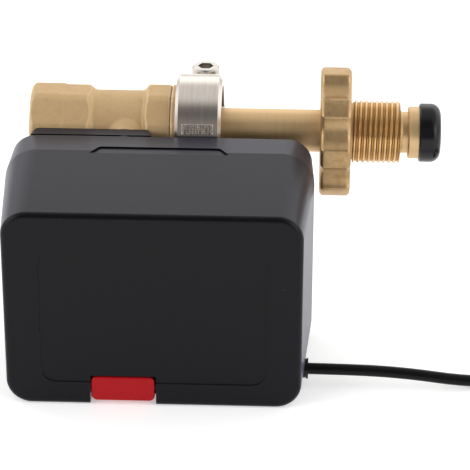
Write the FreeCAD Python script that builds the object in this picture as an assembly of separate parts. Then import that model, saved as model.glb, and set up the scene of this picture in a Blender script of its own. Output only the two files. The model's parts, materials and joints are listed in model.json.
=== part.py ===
# Motorized ball valve: a geared drive housing, a brass ball valve across its back,
# a clamp that ties the two together, and a hand-tightened cylinder connector.
# Millimetres. Origin: centre of the valve's inlet mouth. +X runs along the flow to the
# connector's nose, -Y is the front of the drive housing, +Z is up.
import FreeCAD, Part
import math
import os

V = FreeCAD.Vector
FLOW = V(1, 0, 0)
BACK = V(0, 1, 0)
UP = V(0, 0, 1)

# Fits
running = 0.06            # radial clearance of a shaft in its bearing
slide = 0.15              # clearance round a sliding or dropped-in piece
seat = 0.05               # clearance of a piece that is pressed or screwed home
moving_gap = 0.4          # space between a turning piece and a fixed one beside it
past = 1.0                # how far a cut reaches past the face that it opens

# Drive housing, two moulded half shells
box_x0 = -6.0
box_bottom_z = -68.7
bottom_trim = 0.02        # planed off the lofted underside, which leaves it truly flat
front_y = -77.07
side_draft = 3.3
front_top_z = 3.2
front_corner = 8.5
seam_y = -34.7
seam_width = 106.4
box_mid_x = box_x0 + seam_width / 2
seam_top_z = 6.9
seam_corner = 11.5
back_draft = 1.0
back_top_z = 5.9
back_corner = 8.5
front_width = seam_width - 2 * side_draft
back_width = seam_width - 2 * back_draft
shell_wall = 1.8
back_wall = 2.2
front_edge_round = 1.8
back_edge_chamfer = 1.4
lip_length = 3.0
lip_wall = 1.2
lip_root = 5.0
seal_width = 1.2
seal_depth = 0.7

# Locating tongue on top of the seam, sunk a little below the surface round it
tongue_mid_x = box_mid_x
tongue_far_y = -31.2
tongue_near_y = -36.4
tongue_far_width = 40.7
tongue_near_width = 46.9
tongue_drop = 0.8
tongue_gap = 0.35
tongue_corner = 1.5

# Blank panel recess in the front face
panel_inset = 11.9
panel_shift = 0.2
panel_x0 = box_mid_x - front_width / 2 + panel_inset
panel_x1 = box_mid_x + front_width / 2 - panel_inset + panel_shift
panel_z0 = -60.0
panel_z1 = -9.5
panel_corner = 5.0
panel_depth = 0.4

# Release latch, its pocket and spring
latch_x0 = 26.1
latch_x1 = 47.6
latch_z0 = -67.1
latch_z1 = -58.0
latch_depth = 7.4
latch_set_back = 0.15
latch_gap = 0.45
latch_corner = 2.0
latch_edge_round = 0.6
latch_travel = 2.5
latch_skin = 1.6
notch_depth = 8.0
pocket_depth = 12.6
pocket_wall = 2.6
rail_reach = 1.1
rail_height = 2.0
rail_length = 5.0
rail_front = 1.9
spring_pad_radius = 2.6
leaf_span = 17.0
leaf_height = 4.0
leaf_thick = 0.4

# Screws that close the housing
screw_inset = 9.6
screw_reach_x = seam_width / 2 - screw_inset
screw_top_z = -17.0
screw_low_z = -54.0
screw_radius = 1.5
screw_head_radius = 2.8
screw_head_height = 2.4
screw_length = 23.0
screw_post_radius = 3.5
counterbore_depth = 3.0
socket_share = 0.7

# Block on the back wall that the valve lies against
block_x0 = 2.9
block_x1 = 42.0
block_taper = 1.5
block_low_z = -12.0
block_corner = 1.4

# Valve, forged brass, octagonal ends on a round waist
land_radius = 15.4
corner_cut = 0.5
octagon_corner = land_radius + corner_cut
clamp_thick = 4.0
clamp_radius = land_radius + clamp_thick
clamp_to_housing = 0.2
back_y = -(clamp_radius + clamp_to_housing)
octagon_drop = 0.4
octagon_step_x = 11.5
first_octagon_end = 20.3
waist_start = 22.3
waist_end = 39.8
waist_radius = 13.3
second_octagon_start = 41.2
body_end_x = 49.4
end_chamfer = 1.0
joint_chamfer = 0.35
port_radius = 9.3
port_length = 15.0
cap_start_x = body_end_x + moving_gap
cap_end_x = 59.1
spigot_radius = 12.0
ball_x = 34.0
ball_radius = 9.5
ball_bore = 6.0
seat_length = 3.5
seat_inner_reach = 5.9
boss_radius = 6.2
boss_root_radius = 9.0
boss_root_y = -9.0
bonnet_radius = 5.0
bonnet_end_y = back_y + slide

# Stem, packing and gland
stem_radius = 3.0
stem_collar_radius = 5.0
stem_collar_y = -10.0
stem_collar_length = 1.4
thrust_washer = 0.7
stem_tongue_thick = 2.9
stem_tongue_depth = 2.5
packing_radius = 4.2
packing_y = -14.0
packing_length = 2.6
gland_slot = 1.6
blade_thick = 2.4
blade_width = 5.4
blade_length = 2.6

# Output shaft, bearing bush and gears; every axis runs along Y
shaft_end_radius = 3.9
shaft_radius = 2.8
shaft_flat = 2.2
journal_radius = 1.9
bush_wall = 1.1
bearing_boss_radius = 5.8
bearing_boss_height = 1.0
pressure_angle = 25.0
backlash = 0.12
tooth_foot_rise = 0.01
coarse_module = 1.0
sector_full_teeth = 52
sector_teeth = 14
idler_pinion_teeth = 12
fine_module = 0.8
idler_wheel_teeth = 45
motor_pinion_teeth = 12
hub_radius = 3.9
sector_y1 = back_y - back_wall - bearing_boss_height - moving_gap
sector_width = 5.4
sector_web = 2.6
sector_web_angle = 1.0
sector_window_radius = 4.0
sector_window_turn = 24.0
sector_window_shift = 1.0
rim_depth = 3.2
gear_layer_gap = 1.0
wheel_width = 5.0
wheel_web = 2.2
wheel_windows = 6
axle_radius = 1.5
axle_boss_radius = 3.6
motor_angle = -10.0
cam_lobe = 8.0
cam_direction = -135.0

# Gear plate and gear motor
plate_thick = 1.5
plate_x0 = 7.8
plate_x1 = 74.6
plate_z0 = -56.0
plate_z1 = 3.0
plate_corner = 3.0
plate_posts = ((11.6, -30.0), (11.6, -52.0), (70.6, -52.0), (70.6, -8.0))
plate_post_radius = 3.0
small_screw_radius = 1.25
small_head_radius = 2.4
small_head_height = 1.6
small_screw_length = 8.0
motor_radius = 12.2
motor_length = 31.0
motor_boss_radius = 3.5
motor_boss_height = 1.2
motor_shaft_radius = 1.5
motor_screw_circle = 8.5
motor_screw_bite = 3.0
motor_shaft_depth = 3.5
gearhead_length = 10.0
groove_pitch = 2.5
tab_reach = 5.0
tab_width = 2.4
tab_length = 1.6
tab_thick = 0.6
motor_rib = 0.6

# Limit switches
switch_length = 12.8
switch_height = 6.5
switch_depth = 5.8
switch_top_z = -3.0
switch_button = 0.8
switch_touch = 0.3
switch_button_reach = 1.6
cam_lobe_half = 1.4

# Circuit board on the front wall
board_side_gap = 14.8
board_width = 31.0
board_z0 = -50.0
board_z1 = -6.0
board_thick = 1.6
board_stand = 1.8
board_hole_inset = 3.0
board_head_height = 1.4
relay_side = 12.0
relay_height = 12.5
relay_inset_x = 1.5
relay_inset_z = 7.0
terminal_width = 7.5
terminal_length = 9.0
terminal_height = 10.0
terminal_inset_x = 6.5
terminal_inset_z = 1.0
capacitor_radius = 4.0
capacitor_height = 11.0
capacitor_inset_x = 8.0
capacitor_rise_z = 18.0
controller_side = 8.0
controller_height = 1.6
controller_inset_x = 6.0
controller_inset_z = 4.0

# Clamp that ties the valve to the housing
clamp_x0 = 51.3
clamp_x1 = 67.4
clamp_bevel = 1.1
clamp_split = 3.6
ear_x0 = 53.1
ear_reach_y = 33.5
ear_thick = 4.8
ear_chamfer = 1.2
clamp_screw_y = 27.5
foot_thick = 2.0
foot_top_z = 3.0
foot_low_z = -30.0
foot_screw_z = -25.0
foot_boss_length = 5.0
foot_screw_pitch = 9.0
saddle_half_height = 7.0
saddle_inset = 1.0
saddle_drop = 0.5
serration_low = 18.5
serration_high = 28.5
serration_height = 0.4
serration_root = 0.3
serration_share = 0.55
serration_count = 10
serration_margin = 1.6
cap_screw_radius = 3.0
cap_head_radius = 5.0
cap_head_height = 6.0
cap_socket_flats = 5.0
cap_socket_depth = 3.0
cap_edge = 0.6
cap_tip_reach = 2.0
hex_nut_flats = 10.0
hex_nut_height = 5.0

# Cylinder connector
tube_radius = 7.5
tube_bore = 2.4
flare_length = 6.0
turned_edge = 0.4
tail_radius = 8.3
nut_x0 = 102.1
wheel_length = 10.8
wheel_x1 = nut_x0 + wheel_length
wheel_radius = 23.35
wheel_lobes = 8
scallop_radius = 7.5
scallop_depth = 3.2
scallop_phase = 22.0
wheel_chamfer = 0.9
thread_gap = 0.7
thread_length = 16.7
thread_x0 = wheel_x1 + thread_gap
thread_x1 = thread_x0 + thread_length
thread_radius = 11.18
thread_chamfer = 1.0
nut_neck_radius = 10.2
neck_radius = 7.3
neck_length = 2.5
neck_x0 = thread_x1 + moving_gap
flange_x0 = neck_x0 + neck_length
flange_length = 3.8
flange_x1 = flange_x0 + flange_length
flange_radius = 9.2
nose_length = 7.7
nose_end_x = flange_x1 + nose_length
nose_radius = 10.4
nose_round = 3.6
nose_back_edge = 0.5
core_radius = 5.0
core_set_back = 1.0
core_edge = 0.6

# Supply cable, its grommet and plug
cable_radius = 2.0
cable_points = [
    (88.6, -59.5, -62.9),
    (105.6, -59.5, -62.9),
    (130.6, -61.0, -64.6),
    (155.6, -62.0, -66.6),
    (181.6, -57.2, -66.7),
    (204.6, -45.2, -66.7),
    (220.6, -26.7, -66.7),
]
bend_share = 0.45
coil_columns = 4
coil_rows = 2
coil_pitch = 4.1
coil_middle_radius = 24.0
coil_exit_turn = 0.16
coil_edge = 1.2
tail_points = [(222.1, 20.3, -63.7), (214.1, 34.8, -63.7)]
plug_radius = 5.0
plug_length = 24.0
plug_neck_length = 8.4
plug_neck_radius = 2.6
plug_hole_floor = 1.0
plug_barrel_radius = 2.75
plug_barrel_bore = 1.05
plug_barrel_length = 9.5
grommet_radius = 3.3
grommet_flange = 4.3
grommet_lip = 1.2
grommet_lip_gap = 0.6
grommet_collar_radius = 3.6
grommet_collar = 0.7
grommet_collar_gap = 0.3

# Places that follow from the sizes above
rear_inner_y = back_y - back_wall
front_inner_y = front_y + shell_wall
octagon_flat = octagon_corner * math.cos(math.pi / 8)
block_back_y = -octagon_flat - seat
wheel_y1 = sector_y1 - sector_width - gear_layer_gap
wheel_y0 = wheel_y1 - wheel_width
plate_y1 = wheel_y0 - moving_gap
plate_y0 = plate_y1 - plate_thick
sector_radius = coarse_module * sector_full_teeth / 2
idler_pinion_radius = coarse_module * idler_pinion_teeth / 2
idler_x = ball_x
idler_z = -(sector_radius + idler_pinion_radius)
motor_distance = fine_module * (idler_wheel_teeth + motor_pinion_teeth) / 2
motor_x = idler_x + motor_distance * math.cos(math.radians(motor_angle))
motor_z = idler_z + motor_distance * math.sin(math.radians(motor_angle))
clamp_mid_x = (ear_x0 + clamp_x1) / 2
foot_mid_x = (clamp_x0 + clamp_x1) / 2
board_x1 = box_mid_x + seam_width / 2 - board_side_gap
board_x0 = board_x1 - board_width
board_y0 = front_inner_y + board_stand


# Basic solids
def block(x0, x1, y0, y1, z0, z1):
    return Part.makeBox(x1 - x0, y1 - y0, z1 - z0, V(x0, y0, z0))


def rod_x(x0, x1, radius, y=0.0, z=0.0):
    return Part.makeCylinder(radius, x1 - x0, V(x0, y, z), FLOW)


def rod_y(y0, y1, radius, x, z):
    return Part.makeCylinder(radius, y1 - y0, V(x, y0, z), BACK)


def rod_z(z0, z1, radius, x, y):
    return Part.makeCylinder(radius, z1 - z0, V(x, y, z0), UP)


def cone_x(x0, x1, r0, r1, y=0.0, z=0.0):
    return Part.makeCone(r0, r1, x1 - x0, V(x0, y, z), FLOW)


def turned_x(profile):
    """Solid of revolution about the X axis from (x, radius) points."""
    points = [V(x, 0, r) for x, r in profile]
    points.append(points[0])
    return Part.Face(Part.makePolygon(points)).revolve(V(0, 0, 0), FLOW, 360)


def prism_x(points_yz, x0, x1):
    points = [V(x0, y, z) for y, z in points_yz]
    points.append(points[0])
    return Part.Face(Part.makePolygon(points)).extrude(V(x1 - x0, 0, 0))


def prism_z(points_xy, z0, z1):
    points = [V(x, y, z0) for x, y in points_xy]
    points.append(points[0])
    return Part.Face(Part.makePolygon(points)).extrude(V(0, 0, z1 - z0))


def regular(count, corner, phase):
    """Corners of a regular polygon, phase in degrees."""
    angles = [math.radians(phase + 360.0 * k / count) for k in range(count)]
    return [(corner * math.cos(a), corner * math.sin(a)) for a in angles]


def hexagon_z(flats, z0, z1, x, y):
    corners = regular(6, flats / math.sqrt(3), 0)
    return prism_z([(x + px, y + py) for px, py in corners], z0, z1)


def fused(first, *others):
    return first.fuse(list(others)).removeSplitter()


def less(shape, *tools):
    return shape.cut(list(tools))


def save(name, *solids):
    shape = solids[0] if len(solids) == 1 else Part.makeCompound(list(solids))
    shape.exportStep("parts/" + name + ".step")
    print(name, "solids", len(shape.Solids), "valid", shape.isValid(), "volume", round(shape.Volume, 1))


# Rounded rectangles that the housing is lofted from
def rounded_wire(x0, x1, z0, z1, corner, y):
    k = corner * math.sqrt(0.5)
    edges = []
    corners = ((x1 - corner, z0 + corner, 1, -1), (x1 - corner, z1 - corner, 1, 1),
               (x0 + corner, z1 - corner, -1, 1), (x0 + corner, z0 + corner, -1, -1))
    ends = []
    for cx, cz, sx, sz in corners:
        across = V(cx + sx * corner, y, cz)
        along = V(cx, y, cz + sz * corner)
        middle = V(cx + sx * k, y, cz + sz * k)
        first, last = (along, across) if sx * sz < 0 else (across, along)
        ends.append((first, middle, last))
    for i, (first, middle, last) in enumerate(ends):
        edges.append(Part.Arc(first, middle, last).toShape())
        edges.append(Part.LineSegment(last, ends[(i + 1) % 4][0]).toShape())
    return Part.Wire(edges)


def housing_section(y, inset):
    """Outline of the housing at depth y, moved inwards by inset."""
    if y <= seam_y:
        t = (y - front_y) / (seam_y - front_y)
        a = (front_width, front_top_z, front_corner)
        b = (seam_width, seam_top_z, seam_corner)
    else:
        t = (y - seam_y) / (back_y - seam_y)
        a = (seam_width, seam_top_z, seam_corner)
        b = (back_width, back_top_z, back_corner)
    width, top, corner = [p + (q - p) * t for p, q in zip(a, b)]
    half = width / 2 - inset
    bottom = box_bottom_z - bottom_trim + inset
    return rounded_wire(box_mid_x - half, box_mid_x + half, bottom, top - inset, corner - inset, y)


def housing_form(y0, y1, inset):
    wires = [housing_section(y0, inset), housing_section(y1, inset)]
    return Part.makeLoft(wires, True, True)


def housing_ring(y0, y1, outer_inset, inner_inset):
    return housing_form(y0, y1, outer_inset).cut(housing_form(y0, y1, inner_inset))


def under_trim():
    return block(box_mid_x - seam_width, box_mid_x + seam_width, front_y - past, back_y + past,
                 box_bottom_z - past, box_bottom_z)


def face_edges_at(shape, y):
    box_hits = [e for e in shape.Edges if abs(e.BoundBox.YMin - y) < 1e-4 and abs(e.BoundBox.YMax - y) < 1e-4]
    return box_hits


def rounded_plate(x0, x1, z0, z1, corner, y0, y1):
    return Part.Face(rounded_wire(x0, x1, z0, z1, corner, y0)).extrude(V(0, y1 - y0, 0))


# Where the housing's screws stand
screw_places = [(box_mid_x + sx * screw_reach_x, z) for sx in (-1, 1) for z in (screw_top_z, screw_low_z)]
board_holes = [(x, z) for x in (board_x0 + board_hole_inset, board_x1 - board_hole_inset)
               for z in (board_z0 + board_hole_inset, board_z1 - board_hole_inset)]
foot_screws = [(foot_mid_x + s * foot_screw_pitch / 2, foot_screw_z) for s in (-1, 1)]


def tongue_prism(grow, z0, z1):
    """Trapezoid over the seam, its far corners rounded; grow widens it for the notch that takes it."""
    far = tongue_far_width / 2 + grow
    near = tongue_near_width / 2 + grow
    far_y = tongue_far_y + grow
    plan = [(tongue_mid_x - near, tongue_near_y), (tongue_mid_x + near, tongue_near_y),
            (tongue_mid_x + far, far_y), (tongue_mid_x - far, far_y)]
    prism = prism_z(plan, z0, z1)
    far_edges = [e for e in prism.Edges if e.BoundBox.YMin > far_y - 1e-4 and e.BoundBox.XLength < 1e-4]
    return prism.makeFillet(tongue_corner, far_edges)


def front_housing():
    outer = housing_form(front_y, seam_y, 0.0)
    outer = outer.makeFillet(front_edge_round, face_edges_at(outer, front_y))
    inner = housing_form(front_inner_y, seam_y, shell_wall)
    shell = outer.cut(inner)
    tongue_floor = seam_top_z - shell_wall + slide
    tongue = tongue_prism(0.0, tongue_floor, seam_top_z - tongue_drop)
    posts = []
    for x, z in screw_places:
        posts.append(rod_y(front_inner_y - seat, seam_y - slide, screw_post_radius, x, z))
    for x, z in board_holes:
        posts.append(rod_y(front_inner_y - seat, board_y0, small_head_radius, x, z))
    pocket_back = front_y + pocket_depth
    side = latch_gap + pocket_wall
    pocket = block(latch_x0 - side, latch_x1 + side, front_inner_y, pocket_back + pocket_wall,
                   box_bottom_z, latch_z1 + side)
    shell = fused(shell, tongue, pocket, *posts)
    holes = []
    for x, z in screw_places:
        holes.append(rod_y(seam_y - screw_length, seam_y, screw_radius + seat, x, z))
    for x, z in board_holes:
        holes.append(rod_y(front_inner_y + seat, board_y0, small_screw_radius + seat, x, z))
    mouth = block(latch_x0 - latch_gap, latch_x1 + latch_gap, front_y - past, pocket_back,
                  latch_z0 - latch_gap, latch_z1 + latch_gap)
    notch = block(latch_x0 - latch_gap, latch_x1 + latch_gap, front_y - past, front_y + notch_depth,
                  box_bottom_z - past, latch_z1)
    recess = tongue_prism(tongue_gap, seam_top_z - tongue_drop, seam_top_z + past)
    rail_z = (latch_z0 + latch_z1) / 2
    rail_half = rail_height / 2 + slide
    rail_y0 = front_y + rail_front
    rail_slot = block(latch_x0 - rail_reach - slide, latch_x1 + rail_reach + slide, rail_y0 - slide,
                      rail_y0 + rail_length + latch_travel + slide, rail_z - rail_half, rail_z + rail_half)
    panel = rounded_plate(panel_x0, panel_x1, panel_z0, panel_z1, panel_corner, front_y - past,
                          front_y + panel_depth)
    gy, gz = cable_points[0][1:]
    cable_hole = rod_x(box_mid_x, box_mid_x + seam_width, grommet_radius + seat, gy, gz)
    cable_hole = cable_hole.common(housing_ring(front_y, seam_y, -past, shell_wall + past))
    return less(shell, mouth, notch, rail_slot, recess, panel, cable_hole, under_trim(), *holes)


def rear_housing():
    outer = housing_form(seam_y, back_y, 0.0)
    outer = outer.makeChamfer(back_edge_chamfer, face_edges_at(outer, back_y))
    inner = housing_form(seam_y, rear_inner_y, shell_wall)
    shell = outer.cut(inner)
    lip = housing_ring(seam_y - lip_length, seam_y, shell_wall + slide, shell_wall + slide + lip_wall)
    root = housing_ring(seam_y, seam_y + lip_root, shell_wall - slide, shell_wall + slide + lip_wall)
    bearing = rod_y(rear_inner_y - bearing_boss_height, back_y, bearing_boss_radius, ball_x, 0)
    axle_boss = rod_y(rear_inner_y - bearing_boss_height, back_y, axle_boss_radius, idler_x, idler_z)
    posts = [rod_y(seam_y + slide, back_y - seat, screw_post_radius, x, z) for x, z in screw_places]
    posts += [rod_y(plate_y1, back_y - seat, plate_post_radius, x, z) for x, z in plate_posts]
    posts += [rod_y(rear_inner_y - foot_boss_length, back_y - seat, plate_post_radius, x, z)
              for x, z in foot_screws]
    shell = fused(shell, root, lip, mounting_block(), bearing, axle_boss, *posts)
    notch = tongue_prism(tongue_gap, seam_top_z - shell_wall + slide / 2, seam_top_z + past)
    seal_y = seam_y - slide * 2
    groove = housing_ring(seal_y - seal_width - slide / 2, seal_y + slide / 2, shell_wall - slide,
                          shell_wall + slide / 2 + seal_depth)
    bonnet_hole = rod_y(back_y - seat, block_back_y + past, bonnet_radius + slide, ball_x, 0)
    boss_front = rear_inner_y - bearing_boss_height
    bush_hole = rod_y(boss_front - past, back_y + past, shaft_end_radius + bush_wall + seat, ball_x, 0)
    axle_hole = rod_y(boss_front - past, rear_inner_y + past, axle_radius + seat / 2, idler_x, idler_z)
    holes = []
    for x, z in screw_places:
        holes.append(rod_y(seam_y - past, back_y + past, screw_radius + slide, x, z))
        holes.append(rod_y(back_y - counterbore_depth, back_y + past, screw_head_radius + slide, x, z))
    for x, z in plate_posts:
        holes.append(rod_y(plate_y1 - past, plate_y1 + small_screw_length, small_screw_radius + seat, x, z))
    for x, z in foot_screws:
        holes.append(rod_y(rear_inner_y - foot_boss_length, back_y + past, small_screw_radius + seat, x, z))
    hub_relief = rod_y(seam_y - lip_length - past, boss_front, hub_radius + moving_gap, ball_x, 0)
    return less(shell, notch, groove, bonnet_hole, bush_hole, axle_hole, hub_relief, under_trim(), *holes)


def mounting_block():
    """Block behind the back wall; its ends follow the housing's rounded corners."""
    near_y = back_y - seat
    plan = [(block_x0 - block_taper, near_y), (block_x1 + block_taper, near_y), (block_x1, block_back_y),
            (block_x0, block_back_y)]
    prism = prism_z(plan, block_low_z, back_top_z)
    far_edges = [e for e in prism.Edges if e.BoundBox.YMin > block_back_y - 1e-4 and e.BoundBox.XLength < 1e-4]
    prism = prism.makeFillet(block_corner, far_edges)
    outline = housing_section(back_y, 0.0).translated(V(0, -past, 0))
    return prism.common(Part.Face(outline).extrude(V(0, block_back_y - back_y + 2 * past, 0)))


def housing_seal():
    y1 = seam_y - slide * 2
    return housing_ring(y1 - seal_width, y1, shell_wall + slide / 3, shell_wall + slide / 3 + seal_depth)


def pan_screw(x, z, head_y, direction, radius, length, head_radius, head_height):
    """Screw along Y; direction -1 drives it towards the front, +1 towards the back."""
    tip = head_y + direction * length
    top = head_y - direction * head_height
    shank = rod_y(min(tip, head_y), max(tip, head_y), radius, x, z)
    head = rod_y(min(top, head_y), max(top, head_y), head_radius, x, z)
    socket = rod_y(min(top, top + direction * head_height / 2), max(top, top + direction * head_height / 2),
                   radius * socket_share, x, z)
    return fused(shank, head).cut(socket)


def housing_screws():
    head_y = back_y - counterbore_depth
    return [pan_screw(x, z, head_y, -1, screw_radius, screw_length, screw_head_radius, screw_head_height)
            for x, z in screw_places]


# Valve
def octagon(x0, x1, corner):
    return prism_x(regular(8, corner, 180.0 / 8), x0, x1)


def valve_body():
    """Octagons whose corners are turned down to a land, so flats and lands alternate."""
    first = octagon(0, octagon_step_x, octagon_corner)
    second = octagon(octagon_step_x, waist_start, octagon_corner - octagon_drop)
    third = octagon(waist_end, body_end_x, octagon_corner)
    second_land = land_radius - octagon_drop
    turned = turned_x([(0, 0), (0, land_radius - end_chamfer), (end_chamfer, land_radius),
                       (octagon_step_x, land_radius), (octagon_step_x, second_land),
                       (first_octagon_end, second_land), (waist_start, waist_radius),
                       (waist_end, waist_radius), (second_octagon_start, land_radius),
                       (body_end_x - joint_chamfer, land_radius), (body_end_x, land_radius - joint_chamfer),
                       (body_end_x, 0)])
    waist = rod_x(waist_start - past, waist_end + past, waist_radius)
    boss = Part.makeCone(boss_radius, boss_root_radius, octagon_flat + boss_root_y, V(ball_x, -octagon_flat, 0),
                         BACK)
    bonnet = rod_y(bonnet_end_y, boss_root_y, bonnet_radius, ball_x, 0)
    outer = fused(fused(first, second, waist, third).common(turned), boss, bonnet)
    chamber_radius = ball_radius + moving_gap
    seat_start = ball_x - seat_inner_reach - seat_length - seat
    seat_stop = ball_x + seat_inner_reach + seat_length + seat
    port = rod_x(0, port_length, port_radius)
    runout = cone_x(port_length, port_length + port_radius - ball_bore, port_radius, ball_bore)
    passage = rod_x(port_length, seat_start, ball_bore)
    chamber = rod_x(seat_start, seat_stop, chamber_radius)
    spigot_bore = rod_x(seat_stop, body_end_x, spigot_radius + seat)
    collar_depth = stem_collar_y - stem_collar_length - thrust_washer - 2 * seat
    stem_bore = rod_y(bonnet_end_y, 0, stem_radius + running, ball_x, 0)
    collar_bore = rod_y(collar_depth, 0, stem_collar_radius + running, ball_x, 0)
    packing_bore = rod_y(bonnet_end_y, packing_y, packing_radius + seat, ball_x, 0)
    return less(outer, port, runout, passage, chamber, spigot_bore, stem_bore, collar_bore,
                packing_bore)


def valve_end_cap():
    seat_stop = ball_x + seat_inner_reach + seat_length + 2 * seat
    turned = turned_x([(cap_start_x, 0), (cap_start_x, land_radius - joint_chamfer),
                       (cap_start_x + joint_chamfer, land_radius), (cap_end_x, land_radius), (cap_end_x, 0)])
    flange = octagon(cap_start_x, cap_end_x, octagon_corner).common(turned)
    cap = fused(flange, rod_x(seat_stop, cap_start_x, spigot_radius))
    tail_bore = rod_x(cap_start_x, cap_end_x, tail_radius + seat)
    return less(cap, rod_x(seat_stop, cap_end_x, ball_bore), tail_bore)


def valve_ball():
    ball = Part.makeSphere(ball_radius, V(ball_x, 0, 0))
    bore = rod_z(-ball_radius, ball_radius, ball_bore, ball_x, 0)
    slot_half = stem_tongue_thick / 2 + seat
    slot = block(ball_x - ball_radius, ball_x + ball_radius, -ball_radius,
                 stem_collar_y + stem_tongue_depth + slide, -slot_half, slot_half)
    return less(ball, bore, slot)


def seat_rings():
    """Two rings whose faces are part of the sphere that the ball turns in."""
    hollow = Part.makeSphere(ball_radius + running, V(ball_x, 0, 0))
    rings = []
    for side in (-1, 1):
        inner = ball_x + side * seat_inner_reach
        outer = ball_x + side * (seat_inner_reach + seat_length)
        ring = rod_x(min(inner, outer), max(inner, outer), ball_radius + moving_gap - seat)
        rings.append(less(ring, rod_x(min(inner, outer), max(inner, outer), ball_bore), hollow))
    return rings


def valve_stem():
    tongue = block(ball_x - stem_radius, ball_x + stem_radius, stem_collar_y,
                   stem_collar_y + stem_tongue_depth, -stem_tongue_thick / 2, stem_tongue_thick / 2)
    tongue = tongue.common(rod_y(stem_collar_y, 0, stem_radius, ball_x, 0))
    collar_front = stem_collar_y - stem_collar_length
    collar = rod_y(collar_front, stem_collar_y, stem_collar_radius, ball_x, 0)
    stem_front = bonnet_end_y - 2 * seat
    shank = rod_y(stem_front, collar_front, stem_radius, ball_x, 0)
    blade = block(ball_x - blade_width / 2, ball_x + blade_width / 2, stem_front - blade_length, stem_front,
                  -blade_thick / 2, blade_thick / 2)
    return fused(shank, collar, tongue, blade)


def tube_y(y0, y1, inner, outer, x, z):
    return rod_y(y0, y1, outer, x, z).cut(rod_y(y0, y1, inner, x, z))


def stem_seals():
    """Thrust washer under the collar and two packing rings under the gland."""
    thrust_back = stem_collar_y - stem_collar_length - seat
    inner = stem_radius + running
    washer = tube_y(thrust_back - thrust_washer, thrust_back, inner, stem_collar_radius, ball_x, 0)
    half = packing_length / 2
    rings = []
    for k in range(2):
        y1 = packing_y - k * half - seat
        rings.append(tube_y(y1 - half + seat, y1, inner, packing_radius, ball_x, 0))
    return [washer] + rings


def gland_nut():
    y1 = packing_y - packing_length - 2 * seat
    ring = tube_y(bonnet_end_y, y1, stem_radius + running, packing_radius, ball_x, 0)
    slot = block(ball_x - packing_radius, ball_x + packing_radius, bonnet_end_y, bonnet_end_y + gland_slot / 2,
                 -gland_slot / 2, gland_slot / 2)
    return ring.cut(slot)


# Involute gears in the XZ plane
def involute(angle):
    return math.tan(angle) - angle


def tooth_half_angle(module, teeth, radius):
    pitch = module * teeth / 2
    base = pitch * math.cos(math.radians(pressure_angle))
    slope = math.acos(min(1.0, base / radius))
    at_pitch = math.pi / (2 * teeth) - backlash / (2 * pitch)
    return at_pitch + involute(math.radians(pressure_angle)) - involute(slope)


def gear_wheel(module, teeth, x, z, y0, y1, first_angle, kept):
    """Gear with kept teeth of the full count; first_angle is the middle of the first tooth."""
    pitch = module * teeth / 2
    tip = pitch + module
    root = pitch - 1.25 * module
    base = pitch * math.cos(math.radians(pressure_angle))
    start = max(base, root) + tooth_foot_rise
    middle = (start + tip) / 2

    def point(radius, angle):
        return V(x + radius * math.cos(angle), y0, z + radius * math.sin(angle))

    def line(a, b):
        return Part.LineSegment(a, b).toShape()

    edges = []
    step = 2 * math.pi / teeth
    wide = tooth_half_angle(module, teeth, start)
    half_middle = tooth_half_angle(module, teeth, middle)
    half_tip = tooth_half_angle(module, teeth, tip)
    for k in range(kept):
        a = math.radians(first_angle) + k * step
        if root < start:
            edges.append(line(point(root, a - wide), point(start, a - wide)))
        edges.append(Part.Arc(point(start, a - wide), point(middle, a - half_middle),
                              point(tip, a - half_tip)).toShape())
        edges.append(line(point(tip, a - half_tip), point(tip, a + half_tip)))
        edges.append(Part.Arc(point(tip, a + half_tip), point(middle, a + half_middle),
                              point(start, a + wide)).toShape())
        if root < start:
            edges.append(line(point(start, a + wide), point(root, a + wide)))
        if k < kept - 1 or kept == teeth:
            edges.append(line(point(root, a + wide), point(root, a + step - wide)))
    if kept < teeth:
        first = math.radians(first_angle) - wide
        last = math.radians(first_angle) + (kept - 1) * step + wide
        inner = root - rim_depth
        half = (first + last) / 2
        edges.append(line(point(root, last), point(inner, last)))
        edges.append(Part.Arc(point(inner, last), point(inner, half), point(inner, first)).toShape())
        edges.append(line(point(inner, first), point(root, first)))
    return Part.Face(Part.Wire(edges)).extrude(V(0, y1 - y0, 0))


def d_bore(y0, y1):
    """Bore with one flat, for the output shaft."""
    bore = rod_y(y0, y1, shaft_radius + seat, ball_x, 0)
    flat = block(ball_x - shaft_radius, ball_x + shaft_radius, y0, y1, shaft_flat + seat, shaft_radius + past)
    return bore.cut(flat)


def sector_gear():
    y0 = sector_y1 - sector_width
    first_angle = -90.0 - 360.0 * (sector_teeth - 1) / sector_full_teeth
    rim = gear_wheel(coarse_module, sector_full_teeth, ball_x, 0, y0, sector_y1, first_angle, sector_teeth)
    hub = rod_y(y0, sector_y1, hub_radius, ball_x, 0)
    inner = sector_radius - 1.25 * coarse_module - rim_depth / 2
    a0 = math.radians(first_angle - sector_web_angle)
    a1 = math.radians(-90.0 + sector_web_angle)
    half = (a0 + a1) / 2
    web_y0 = (y0 + sector_y1 - sector_web) / 2
    ends = [V(ball_x + inner * math.cos(a), web_y0, inner * math.sin(a)) for a in (a0, half, a1)]
    centre = V(ball_x, web_y0, 0)
    edges = [Part.LineSegment(centre, ends[0]).toShape(), Part.Arc(*ends).toShape(),
             Part.LineSegment(ends[2], centre).toShape()]
    web = Part.Face(Part.Wire(edges)).extrude(V(0, sector_web, 0))
    windows = []
    reach = (hub_radius + inner) / 2 + sector_window_shift
    for side in (-1, 0, 1):
        a = half + math.radians(side * sector_window_turn)
        windows.append(rod_y(web_y0 - past, web_y0 + sector_web + past, sector_window_radius,
                             ball_x + reach * math.cos(a), reach * math.sin(a)))
    return less(fused(rim, hub, web.cut(windows)), d_bore(y0 - past, sector_y1 + past))


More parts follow.
